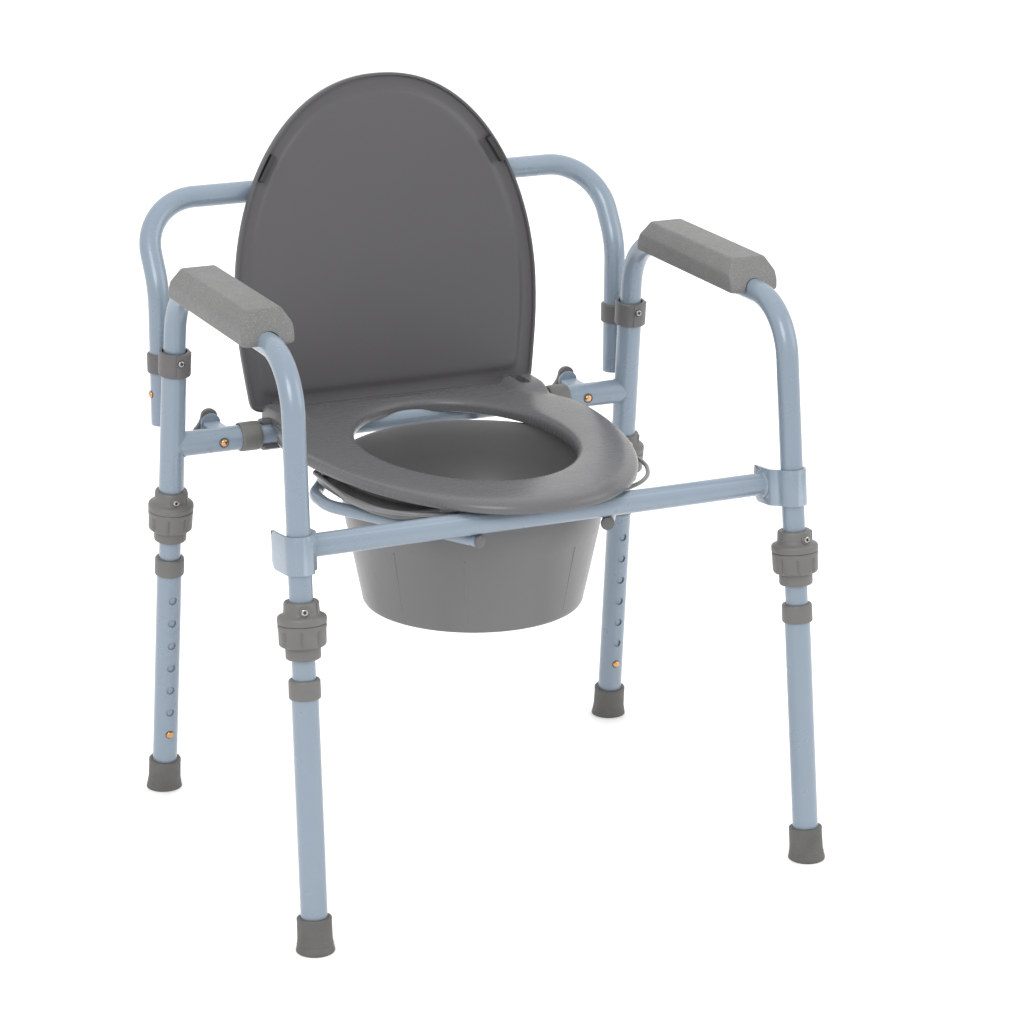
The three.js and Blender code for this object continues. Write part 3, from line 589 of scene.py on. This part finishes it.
def back_rail():
    foot, knee, top = 396.5, 537.0, 616.0
    top_y = BACK_Y + 0.646 * (top - knee)
    corners = [(-BACK_X, BACK_Y, foot), (-BACK_X, BACK_Y, knee), (-BACK_X, top_y, top),
               (BACK_X, top_y, top), (BACK_X, BACK_Y, knee), (BACK_X, BACK_Y, foot)]
    path = rounded(corners, [70, 57, 57, 70], 20)
    obj = finish_mesh("back", tube(path, THIN_R, THIN_BORE))
    carve(obj, [button_hole(on_rail_button(side)) for side, _ in SIDES])
    piece("back_bar", obj, POWDER, "frame", ["back_rail"])


def straight_bars():
    cross = tube([(-228, HINGE_Y, STUB_Z), (228, HINGE_Y, STUB_Z)], THIN_R, THIN_BORE, 48)
    obj = carve(finish_mesh("cross", cross), [button_hole(on_stub_button(side)) for side, _ in SIDES])
    piece("rear_cross", obj, POWDER, "frame", ["cross_tube"])
    bar = tube([(-269, BAR_Y, BAR_Z), (269, BAR_Y, BAR_Z)], THIN_R, THIN_BORE, 48)
    piece("front_cross", bar, POWDER, "frame", ["front_bar"])


def pail_rail(side, word):
    corners = [(side * 68.6, -171, RAIL_Z), (side * 158, -14, RAIL_Z), (side * 158, 24, RAIL_Z),
               (side * 82, 138, RAIL_Z), (side * 76, 160, RAIL_Z + 6)]
    path = rounded(corners, [45, 45, 30], 12)
    piece(f"rail_{word}", tube(path, RAIL_R, 0, 28), POWDER, "frame", [f"pail_rail_{word}"])
    back = (path[0] - path[1]).normalized()
    plug = lathe([(0, 0.3), (6.7, 0.3), (6.9, 1), (6.9, 2.6), (6.3, 3.8), (4.6, 4.6), (2.4, 4.9),
                  (0, 5)], 32)
    piece(f"plug_{word}", plug.move(point_to(path[0], back)), CLIP, "frame",
          [f"rail_plug_{word}"])


def corner_cutter(end, z, r, up):
    """What rounding takes off a tab that ends at y = end, at its corner at height z."""
    low = z if up < 0 else z - r
    rod_y, rod_z = end - r, z - up * r
    block = finish_mesh("corner", box((0, end - r, low), (40, end + 5, low + r)))
    carve(block, [tube([(-2, rod_y, rod_z), (42, rod_y, rod_z)], r, 0, 48, ease=0.1)])
    shape = Build().add([v.co / MM for v in block.data.vertices],
                        [p.vertices for p in block.data.polygons])
    bpy.data.objects.remove(block)
    return shape


def bracket(side, word):
    """A strap bent round the arm tube, its two tabs holding the front bar."""
    low, high = 361.5, 397.5
    inside, outside = THIN_R + 0.3, THIN_R + 3
    short_tab, long_tab = 34, 39
    jog = [(15.5, 2.6), (19.6, 6.6), (21, 9.5), (21, long_tab), (18.4, long_tab), (18.4, 10.5),
           (17.2, 7.8), (13, 3.6)]
    half = arc(outside, 180, 360, 28) + jog + arc(inside, 360, 180, 28)
    outline = [(-side * x, y) for x, y in half]
    outline += [(side * inside, short_tab), (side * outside, short_tab)]
    strap = finish_mesh("strap", plate(outline, low, high))
    cutters = []
    for end, hand in ((short_tab, side), (long_tab, -side)):
        for z, r, up in ((low, 9, -1), (high, 4.5, 1)):
            shape = corner_cutter(end, z, r, up)
            if hand < 0:
                shape.verts = [(-x, y, z) for x, y, z in shape.verts]
            cutters.append(shape)
    place = leg_matrix(FRONT, side)
    bar = tube([(side * 209, BAR_Y, BAR_Z), (side * 270, BAR_Y, BAR_Z)], THIN_R + 0.25, 0, 48, ease=0.1)
    cutters.append(bar.move(place.inverted()))
    carve(strap, cutters)
    bevel(strap, 0.7, 2, 40)
    piece(f"bracket_{word}", carry(strap, place), POWDER, "frame", [f"front_bracket_{word}"])
    inner = place @ Vector((-side * 21, 22.8, 380.7))
    bead = lathe([(THIN_R - 0.5, -0.6), (THIN_R + 2.2, -0.4), (THIN_R + 2.4, 0.5), (THIN_R + 1.2, 1.8),
                  (THIN_R - 0.5, 2.8)], 48)
    bead.move(point_to((inner.x, BAR_Y, BAR_Z), (-side, 0, 0)))
    piece(f"bracket_weld_{word}", bead, POWDER, "frame")


# ---- Plastic fittings on the tubes ----
def clip(side, word):
    """Two bands joined by a web: one on the upright, one on the back rail."""
    post = on_leg(REAR, side, CLIP_Z)
    lean = point_to(post, on_leg(REAR, side, 1) - on_leg(REAR, side, 0))
    band = [(12.85, -12.5), (15.0, -12.5), (15.9, -11.4), (16.0, 0), (15.9, 11.4), (15.0, 12.5),
            (12.85, 12.5)]
    front = lathe(band, 56, close=True).move(lean)
    band = [(11.2, -10), (12.9, -10), (13.7, -9), (13.8, 0), (13.7, 9), (12.9, 10), (11.2, 10)]
    rear = lathe(band, 56, close=True)
    rear.move(Matrix.Translation((side * BACK_X, BACK_Y, CLIP_Z - CLIP_DROP)))
    web = box((post.x - 4.5, post.y + 13.6, CLIP_Z - 13), (post.x + 4.5, BACK_Y - 12.2, CLIP_Z + 3))
    over = plate(arc(16.9, -100, -18, 12) + arc(15.2, -18, -100, 12), -12.2, 12.2, 0.5).move(lean)
    boss = lathe([(0, -3), (4.8, -3), (4.8, 0.6), (4.3, 1.2), (0, 1.2)], 28)
    at, out = post + Vector((1.2, -16.2, 2.5)), (0.05, -1, 0)
    shape = front.join(rear).join(web).join(over).join(boss.move(point_to(at, out)))
    piece(f"clip_{word}", finish_mesh("clip", shape), CLIP, "frame",
          [f"tube_clip_{word}"])
    put_screw(f"clip_screw_{word}", point_to(at + Vector((0, -1.1, 0)), out), "frame")


def stub_cap(side, word):
    profile = [(12.9, -22), (14.2, -22), (14.8, -21.2), (14.95, -19), (14.95, -4), (14.7, -1.8),
               (13.9, -0.4), (12.8, 0), (11.35, 0), (11.35, -3), (12.9, -3)]
    cap = lathe(profile, 56, close=True)
    cap.move(point_to((side * 162.3, HINGE_Y, STUB_Z), (-side, 0, 0)))
    piece(f"cap_{word}", cap, COLLAR, "frame", [f"stub_cap_{word}"])


def hook(side, word):
    """A bell-shaped hood, open to the front under its arch."""
    half = [(17, -2), (17, 0.5), (16.2, 2.5), (13.2, 5.5), (10.8, 9), (9.3, 12), (8.6, 15)]
    half += [(8.5 * x, 15 + 7.5 * y) for x, y in arc(1, 10, 80, 7)]
    outline = half + [(0, 22.5)] + [(-x, z) for x, z in half[::-1]]
    arch = [(-6, -4), (6, -4), (6, 12)] + arc(6, 20, 160, 7, y=12) + [(-6, 12)]
    body = finish_mesh("hook", plate(outline, 0, 6, 1.4, 4))
    carve(body, [plate(arch, 1.6, 9)])
    carry(body, Matrix.Translation((side * TAB_X, HINGE_Y + 40.8, STUB_Z)) @ STAND_UP)
    piece(f"hook_{word}", body, CLIP, "frame", [f"storage_hook_{word}"])


def collar(end, side, word, place):
    """The fixed half, screwed to the upper tube, with a rib beside the screw's boss."""
    bore = (THIN_R if end == "front" else TUBE_R) + 0.15
    profile = [(bore, 315), (22.3, 315), (22.9, 315.6), (23.1, 317), (23.1, 320.2), (22.7, 321.6),
               (21.6, 322.6), (18.6, 323.4), (17.4, 324.6), (16.9, 327), (16.5, 334.2), (16.1, 335.4),
               (15.3, 336), (bore, 336)]
    shape = lathe(profile, 64, close=True)
    degrees = side * 12 if end == "front" else -3
    out = Vector((math.sin(math.radians(degrees)), -math.cos(math.radians(degrees)), 0))
    at = Vector((0, 0, 328.5)) + out * 16.4
    boss = lathe([(0, -3), (5.2, -3), (5.2, 0.8), (4.7, 1.4), (0, 1.4)], 28).move(point_to(at, out))
    rib = box((-1.6, -17.6, 322.5), (1.6, -14, 335))
    rib.move(Matrix.Rotation(math.radians(degrees + 55), 4, "Z"))
    obj = finish_mesh("collar", shape.join(boss).join(rib).move(place))
    piece(f"collar_{end}_{word}", obj, COLLAR, "frame", [f"leg_collar_{end}_{word}"])
    put_screw(f"collar_screw_{end}_{word}", place @ point_to(at + out * 1.2, out), "frame", 3.4)


def nut(end, word, place):
    """The turning half: broad grip lobes between narrow flutes, ending in a plain sleeve."""
    sides, lobes, flute_width = 144, 8, 0.10

    def loop(z, top, dip):
        out = []
        for a in turns(sides):
            phase = (a * lobes / (2 * math.pi)) % 1
            r = top - dip * math.exp(-(((phase - 0.5) / flute_width) ** 2))
            out.append((r * math.cos(a), r * math.sin(a), z))
        return out

    def ring(r, z):
        return loop(z, r, 0)

    bore = THIN_R + 0.45
    loops = [ring(bore, 281.6), ring(15.4, 281.6), ring(16.2, 282.3), ring(16.5, 283.5), ring(16.6, 292.6),
             ring(17.6, 293.5), loop(294.0, 20.6, 0.6), loop(295.0, 21.8, 1.2), loop(296.6, 22.4, 1.7),
             loop(309.0, 22.6, 1.7), loop(310.4, 22.7, 0.5), ring(22.9, 311.4), ring(22.9, 313.8),
             ring(22.3, 314.7), ring(bore, 314.7)]
    shape = rings(loops, close=True).move(place)
    piece(f"nut_{end}_{word}", shape, COLLAR, f"nut_{end}_{word}",
          [f"collar_nut_{end}_{word}"], 30)


def lower_leg(end, foot, side, word, place):
    """The sliding leg with its row of holes, its ring, its rubber tip and the button in its first hole."""
    facing = foot["facing"]
    body = f"lower_leg_{end}_{word}"
    wall = [(11.45, 9.7), (11.8, 9.1), (12.2, 9), (12.7, 9.6), (12.7, 257.3), (12.3, 258), (11.8, 258),
            (11.45, 257.4)]
    leg = finish_mesh("leg", lathe(wall, 56, close=True))
    heights = [FIRST_HOLE + HOLE_PITCH * i for i in range(HOLES)]
    drills = [tube([(0, facing * 5, z), (0, facing * 20, z)], 4.3, 0, 28, ease=0.1) for z in heights]
    carve(leg, drills, angle=25)
    piece(f"leg_{end}_{word}", carry(leg, place), POWDER, body, [body])
    band = [(12.8, 243.6), (14.3, 243.6), (14.9, 244.3), (15.1, 245.6), (15.0, 259.6), (14.7, 261.0),
            (13.9, 261.9), (11.5, 262), (11.5, 258.4), (12.8, 258.4)]
    piece(f"ring_{end}_{word}", lathe(band, 56, close=True).move(place), COLLAR, body,
          [f"leg_ring_{end}_{word}"])
    tip(end, word, place, body)
    snap_button(f"button_{end}_{word}", THIN_R + 0.3, TUBE_R + 2.6, on_leg_button(foot, side),
                f"leg_button_{end}_{word}")


def tip(end, word, place, body):
    """A rubber tip on the leaning leg, its sole cut level with the floor."""
    profile = [(0, -2.6), (17.2, -2.6), (18.2, -1.8), (18.4, -0.6), (18.35, 1.2), (17.9, 3.4), (17.4, 5.2),
               (17.25, 5.8), (17.5, 6.4), (17.0, 8.5), (16.7, 12), (16.55, 20), (16.5, 28), (16.6, 29.2),
               (16.6, 31.4), (16.1, 32.2), (15.0, 32.4), (12.95, 32.4), (12.95, 6), (0, 6)]
    shape = finish_mesh("tip", lathe(profile, 64).move(place))
    carve(shape, [box((-400, -400, -40), (400, 400, 0))], angle=30)
    piece(f"tip_{end}_{word}", shape, RUBBER, body, [f"foot_tip_{end}_{word}"])


# ---- Arm pads ----
def arm_pad(side, word):
    """A moulded grip, chamfered along its top edges, sloped and rounded at both ends."""
    half_width, top, front, rear = 26.2, 30.8, -115.5, 93.5
    section = [(-half_width, -1.4), (-half_width, 16.5), (-17.5, top), (17.5, top), (half_width, 16.5),
               (half_width, -1.4)]
    block = rings([[(x, y, ARM_Z + z) for x, z in section] for y in (front, rear)],
                  cap_start=True, cap_end=True)
    obj = finish_mesh("pad", block)
    cutters = []
    for y, hand in ((front, -1), (rear, 1)):
        # the end face leans in above the tube, and its two upright corners are clipped
        wedge = box((-60, -40, 0), (60, 0, 90)) if hand < 0 else box((-60, 0, 0), (60, 40, 90))
        lean = Matrix.Rotation(hand * 0.53, 4, "X")
        cutters.append(wedge.move(Matrix.Translation((0, y, ARM_Z + 3)) @ lean))
        for x in (-1, 1):
            corner = box((-30, -30, -40), (30, 0, 90)) if hand < 0 else box((-30, 0, -40), (30, 30, 90))
            turn = Matrix.Rotation(x * hand * -0.62, 4, "Z")
            cutters.append(corner.move(Matrix.Translation((x * 20.0, y + hand * 0.5, ARM_Z)) @ turn))
    carve(obj, cutters)
    bevel(obj, 5.5, 6, 12, 180)
    groove = tube([(0, front - 20, ARM_Z), (0, rear + 20, ARM_Z)], THIN_R + 0.5, 0, 48, ease=0.1)
    carve(obj, [groove], angle=50)
    middle = (on_leg(REAR, side, ARM_Z).x + on_leg(FRONT, side, ARM_Z).x) / 2
    carry(obj, Matrix.Translation((middle, 0, 0)))
    piece(f"pad_{word}", obj, PAD, "frame", [f"arm_pad_{word}"])


# ---- Seat and lid ----
# the squarer end of each outline, as parts of its half width and of its length
LID_SIDE = [(1.0, 0.80), (0.998, 0.84), (0.99, 0.885), (0.975, 0.915), (0.95, 0.935), (0.90, 0.946),
            (0.82, 0.953), (0.72, 0.962), (0.6, 0.972), (0.45, 0.984), (0.3, 0.993), (0.15, 0.998)]
SEAT_SIDE = [(1.0, 0.85), (0.997, 0.868), (0.985, 0.881), (0.95, 0.888), (0.82, 0.890), (0.68, 0.894),
             (0.6, 0.900), (0.54, 0.908), (0.48, 0.921), (0.42, 0.938), (0.36, 0.957), (0.3, 0.972),
             (0.22, 0.986), (0.15, 0.995)]


def egg(half_width, round_len, square_len, inset=0.0, count=30, side=LID_SIDE):
    """The outline shared by seat and lid, round towards +Y and squarer towards -Y."""
    w, r, q = half_width - inset, round_len - inset, square_len - inset
    right = [(w * math.cos(a) ** 0.93, r * math.sin(a))
             for a in (math.pi / 2 * k / count for k in range(count))]
    points = [(w * k, -q * t) for t, k in side] + right
    return points + [(0, r)] + [(-x, y) for x, y in points[::-1]]


def resample(outline, count):
    """Evenly spaced points round a closed outline."""
    points = np.array(outline + [outline[0]], float)
    step = np.hypot(*np.diff(points, axis=0).T)
    along = np.concatenate([[0], np.cumsum(step)])
    want = np.linspace(0, along[-1], count, endpoint=False)
    return np.stack([np.interp(want, along, points[:, i]) for i in range(2)], 1)


def seat_sections(count=240):
    """Pairs of points, in the seat's hole and on its rim, that the ring's sections run between."""
    widest = 72.0
    rim = [(x, widest - y) for x, y in egg(169, widest + 211, 185.5 - widest, side=SEAT_SIDE)]
    rim = resample(rim, count * 4)
    centre = np.array([0.0, 13.0])
    inners, best = [], []
    away = rim - centre
    for a in turns(count):
        inners.append(centre + np.array([104 * math.cos(a), 143 * math.sin(a)]))
        direction = np.array([math.cos(a) * 1.25, math.sin(a)])
        best.append(np.argmax(away @ (direction / np.hypot(*direction)) / np.hypot(*away.T)))
    # the rim points are spread smoothly, so that the sections follow each other evenly
    turn = np.unwrap(np.array(best) * 2 * math.pi / len(rim))
    even = np.sign(turn[-1] - turn[0]) * 2 * math.pi * np.arange(count) / count
    shift = turn - even
    for _ in range(60):
        shift = (np.roll(shift, 1) + shift * 2 + np.roll(shift, -1)) / 4
    at = ((even + shift) / (2 * math.pi) * len(rim)) % len(rim)
    closed = np.vstack([rim, rim[:1]])
    outers = np.stack([np.interp(at, np.arange(len(closed)), closed[:, i]) for i in range(2)], 1)
    return list(zip(inners, outers))


def seat_ring():
    """Skins the seat's section, as (part of the way from hole to rim, height), round the hole."""
    profile = [(0.000, 394.0), (0.004, 396.2), (0.02, 398.2), (0.05, 399.5), (0.09, 400.4), (0.14, 401.0),
               (0.2, 401.4), (0.3, 401.8), (0.45, 402.1), (0.6, 402.2), (0.7, 402.0), (0.77, 401.5),
               (0.83, 400.9), (0.88, 400.2), (0.93, 399.0), (0.965, 397.3), (0.985, 395.6), (0.996, 393.8),
               (1.0, 392.2), (0.995, 390.6), (0.98, 389.9), (0.965, 390.2), (0.95, 391.6), (0.93, 393.0),
               (0.80, 393.6), (0.3, 393.4), (0.085, 393.0), (0.07, 391.4), (0.05, 389.0), (0.03, 388.2),
               (0.01, 388.8), (0.001, 390.6)]
    # edges keep their own size however wide the ring is
    edge, inner_part, outer_part = 48.0, 0.2, 0.25
    inner_edge, outer_edge = edge * inner_part, edge * outer_part
    loops = []
    for inner, rim in seat_sections():
        width = np.hypot(*(rim - inner))
        loop = []
        for t, z in profile:
            if t < inner_part:
                d = t * edge
            elif t > 1 - outer_part:
                d = width - (1 - t) * edge
            else:
                flat = width - outer_edge - inner_edge
                d = inner_edge + (t - inner_part) / (1 - outer_part - inner_part) * flat
            p = inner + (rim - inner) / width * d
            loop.append((p[0], p[1], z))
        loops.append(loop)
    return finish_mesh("seat_shape", rings(loops, close=True), 40)


def seat_hood(side):
    """The swelling of a rear corner over the cross tube, falling off to each side."""
    under = 392.5
    swell = [(118, 399.5), (124, 400.8), (130, 402.4), (137, 405.6), (143, 408.0), (148, 409.2), (153, 409.6),
             (172, 409.6), (177, 409.0), (181, 407.4), (183.6, 404.6), (184.6, 401), (184.6, under),
             (118, under)]
    drops = [(112, 7.5), (115, 4.5), (118.5, 1.6), (122, 0.3), (126, 0), (145.5, 0), (148, 0.5),
             (149.6, 1.8), (150.4, 4.2)]
    loops = [[(side * x, y, max(z - drop, under)) for y, z in swell] for x, drop in drops]
    return rings(loops, cap_start=True, cap_end=True)


def seat_clip(side):
    """A clip open to the front, snapped over the cross tube."""
    loops = []
    for x, grow in ((141, -0.7), (141.7, 0), (159.3, 0), (160, -0.7)):
        ring = arc(16.4 + grow, -12, 220, 40) + arc(11.7 - grow * 0.3, 220, -12, 40)
        loops.append([(side * x, HINGE_Y + y, STUB_Z + z) for z, y in ring])
    return rings(loops, cap_start=True, cap_end=True)


def seat():
    obj = seat_ring()
    carve(obj, [seat_hood(side) for side, _ in SIDES], "UNION")
    cutters = [tube([(-200, HINGE_Y, STUB_Z), (200, HINGE_Y, STUB_Z)], THIN_R + 0.8, 0, 56, ease=0.1)]
    for side, _ in SIDES:
        # the slot for the lid's arm, and the room round the stub's cap
        low, high = sorted((side * 124.5, side * 135.5))
        cutters.append(box((low, 146.5, 380), (high, 195, 413)))
        low, high = sorted((side * 161.2, side * 200))
        cutters.append(tube([(low, HINGE_Y, STUB_Z), (high, HINGE_Y, STUB_Z)], 15.5, 0, 48, ease=0.1))
    carve(obj, cutters, angle=40)
    piece("seat_ring", obj, SEAT, "seat", ["seat"])
    for side, word in SIDES:
        piece(f"seat_clip_{word}", seat_clip(side), CLIP, "seat")
        foot = finish_mesh("foot", box((side * 63 - 7, BAR_Y - 6, 387), (side * 63 + 7, BAR_Y + 6, 394)))
        bevel(foot, 1.2, 3)
        piece(f"seat_foot_{word}", foot, DARK, "seat")


LID_TILT = math.radians(6.5)
LID_PLACE = Matrix.Translation((0, HINGE_Y, STUB_Z)) @ Matrix.Rotation(math.pi / 2 - LID_TILT, 4, "X")


def lid():
    """The lid is built flat, its hinge line on local X, and then stood up at its tilt."""
    widest, top, bottom = 126.5, 353.7, 16.0
    face, arm_x = -27.5, 130
    rows = [(26, -10.6), (8, -10.3), (3.2, -10.0), (1.2, -9.2), (0.2, -7.6), (0.0, -5.5), (0.0, -1.0),
            (0.35, -0.3), (1.0, 0.0), (2.0, 0.0), (2.7, -0.35), (3.0, -1.1), (3.2, -3.6), (3.7, -4.6),
            (4.8, -5.0), (12.5, -5.0), (14.6, -4.7), (16.4, -3.9), (18.2, -3.0), (20.5, -2.6), (25, -2.5),
            (60, -2.4), (100, -2.4)]
    loops = [[(x, y + widest, face + z) for x, y in egg(168, top - widest, widest - bottom, inset, 40)]
             for inset, z in rows]
    shape = rings(loops, cap_start=True, cap_end=True)
    for side, _ in SIDES:
        ring = lathe([(11.6, -4), (14.6, -4), (15.2, -3.4), (15.2, 3.4), (14.6, 4), (11.6, 4)],
                     48, close=True)
        shape.join(ring.move(point_to((side * arm_x, 0, 0), (1, 0, 0))))
        for lo, hi in (((-4, -7, face - 6.5), (4, 9, -12.6)), ((-4, 0, face - 9), (4, 26, face - 4))):
            shape.join(box((side * arm_x + lo[0], *lo[1:]), (side * arm_x + hi[0], *hi[1:])))
    obj = finish_mesh("lid_shape", shape.move(LID_PLACE), 30)
    piece("lid_shell", obj, LID, "lid", ["lid"])
    for side, word in SIDES:
        pad = finish_mesh("bumper", box((-2.5, -15, -32.2), (2.5, 15, -24.5)))
        bevel(pad, 0.8, 3)
        turn = Matrix.Translation((side * 127, 266, 0)) @ Matrix.Rotation(side * 0.535, 4, "Z")
        carry(pad, LID_PLACE @ turn)
        piece(f"bumper_{word}", pad, DARK, "lid", [f"lid_bumper_{word}"])


# ---- Pail and bail ----
def pail():
    """A tapered tub with raised ribs, two side wings that rest on the rails, and the bail's lugs."""
    low, rim, wing_low, wing_top = 240.0, 385.5, 364.5, 376.0
    sides = 144
    centre = Matrix.Translation((0, PAIL_Y, 0))
    outside = [(0, low + 1.2), (96, low + 1.2), (99, low), (107.5, low), (109.8, low + 0.8),
               (111.0, low + 2.8), (111.6, low + 6), (126.6, 321), (127.2, 321.8), (131.0, 347),
               (131.6, 362), (132.2, wing_low), (135.9, wing_low), (137.0, wing_low + 0.7),
               (137.3, wing_low + 2), (136.7, wing_top), (136.6, rim - 1.6), (136.1, rim - 0.5),
               (135.2, rim)]
    inside = [(134.0, rim), (133.1, rim - 0.5), (132.7, rim - 1.6), (131.2, 372), (130.4, 366),
              (128.9, 352), (124.6, 322), (124.0, 321), (109.0, low + 9), (107.6, low + 5),
              (105, low + 3.6), (0, low + 3.4)]
    tub = lathe(outside + inside, sides).move(centre)
    half = [(96, -116), (124, -110), (139, -84), (149, -40), (152, 16), (149, 42), (120, 70)]
    smooth = resample(rounded_outline(half + [(-x, y) for x, y in half[::-1]], 16), 200)
    wing = finish_mesh("wing", plate(smooth, wing_top - 9, wing_top, 1.6))
    hole = lathe([(0, 300), (133.2, 300), (133.2, 420), (0, 420)], sides).move(centre)
    carve(wing, [hole], angle=30)
    piece("pail_wings", wing, PAIL, "pail")
    rib_foot, rib_head = (112.3, low + 10), (126.3, 319)
    for degrees in (-152, -118, -62, -28, 28, 62, 118, 152):
        a = math.radians(degrees)
        path = [((r - 0.35) * math.cos(a), (r - 0.35) * math.sin(a) + PAIL_Y, z)
                for r, z in (rib_foot, rib_head)]
        tub.join(tube(path, 0.7, 0, 10, ease=0.3))
    piece("pail_tub", finish_mesh("tub", tub, 30), PAIL, "pail", ["pail"])
    for side, word in SIDES:
        outline = [(-6, 0), (6, 0)] + [(6 * x, 8.5 + 5 * y) for x, y in arc(1, 0, 180, 12)]
        # stood up so that the lug's thickness lies along X
        stand = Matrix(((0, 0, 1, side * 146), (1, 0, 0, BAIL_Y), (0, 1, 0, 372), (0, 0, 0, 1)))
        lug = finish_mesh("lug", plate(outline, -2, 2, 0.6).move(stand))
        carve(lug, [tube([(side * 140, BAIL_Y, BAIL_Z), (side * 152, BAIL_Y, BAIL_Z)], 2.6, 0, 24,
                         ease=0.1)])
        piece(f"pail_lug_{word}", lug, PAIL, "pail")


def rounded_outline(points, radius, steps=8):
    """A closed outline with each corner softened by a curve."""
    corners = [Vector((x, y, 0)) for x, y in points]
    out = []
    for i, c in enumerate(corners):
        a, b = (corners[i - 1] - c), (corners[(i + 1) % len(corners)] - c)
        reach = min(radius, a.length * 0.45, b.length * 0.45)
        p, q = c + a.normalized() * reach, c + b.normalized() * reach
        for k in range(steps + 1):
            t = k / steps
            v = p * (1 - t) ** 2 + c * (2 * t * (1 - t)) + q * t ** 2
            out.append((v.x, v.y))
    return out


def bail():
    half = [(141, BAIL_Y), (155.5, BAIL_Y), (158.5, -76), (136, -126), (86, -149.5)]
    corners = [(-x, y, BAIL_Z) for x, y in half] + [(x, y, BAIL_Z) for x, y in half[::-1]]
    path = rounded(corners, [4.5, 80, 80, 80, 80, 80, 80, 4.5], 10)
    piece("bail_wire", tube(path, 2.2, 0, 16, ease=0.4), WIRE, "bail", ["bail"])


# ---- Assemble ----
for SIDE, WORD in SIDES:
    arm_tube(SIDE, WORD)
    rear_upright(SIDE, WORD)
    inner_leg(SIDE, WORD)
    pail_rail(SIDE, WORD)
    bracket(SIDE, WORD)
    clip(SIDE, WORD)
    stub_cap(SIDE, WORD)
    hook(SIDE, WORD)
    arm_pad(SIDE, WORD)
    for END, FOOT in (("front", FRONT), ("rear", REAR)):
        PLACE = leg_matrix(FOOT, SIDE)
        collar(END, SIDE, WORD, PLACE)
        nut(END, WORD, PLACE)
        lower_leg(END, FOOT, SIDE, WORD, PLACE)
    snap_button(f"stub_press_{WORD}", THIN_R + 0.3, TUBE_R + 2.6, on_stub_button(SIDE), f"stub_button_{WORD}")
    snap_button(f"rail_press_{WORD}", 9.0, THIN_R + 2.4, on_rail_button(SIDE), f"rail_button_{WORD}")
back_rail()
straight_bars()
seat()
lid()
pail()
bail()


# ---- Floor and light ----
def studio():
    bpy.ops.mesh.primitive_plane_add(size=60, location=(0, 0, -0.0005))
    floor = bpy.context.object
    floor.name = "floor"
    material = surface("floor_pale", (0.93, 0.93, 0.932), (0.94, 0.94, 0.942), (0.7, 0.8), patch=0.5)
    floor.data.materials.append(material)
    world = bpy.data.worlds.new("studio")
    bpy.context.scene.world = world
    world.use_nodes = True
    background = world.node_tree.nodes["Background"]
    background.inputs["Color"].default_value = (1.0, 1.0, 1.0, 1)
    background.inputs["Strength"].default_value = 1.08
    for name, at, size, power, target in (
        ("key", (-2.2, -2.6, 2.9), 2.2, 60, (0, 0, 0.35)),
        ("fill", (2.8, -1.6, 1.8), 2.4, 22, (0, 0, 0.4)),
        ("top", (0.2, 0.6, 3.4), 2.6, 40, (0, 0, 0.4)),
        ("rim", (1.6, 2.8, 2.0), 1.8, 22, (0, 0, 0.5)),
    ):
        light = bpy.data.lights.new(name, "AREA")
        light.shape = "DISK"
        light.size = size
        light.energy = power
        lamp = bpy.data.objects.new(name, light)
        lamp.location = at
        lamp.visible_glossy = name in ("key", "fill")
        lamp.rotation_euler = (Vector(target) - Vector(at)).to_track_quat("-Z", "Y").to_euler()
        bpy.context.collection.objects.link(lamp)
    bpy.context.scene.view_settings.view_transform = "Standard"


studio()
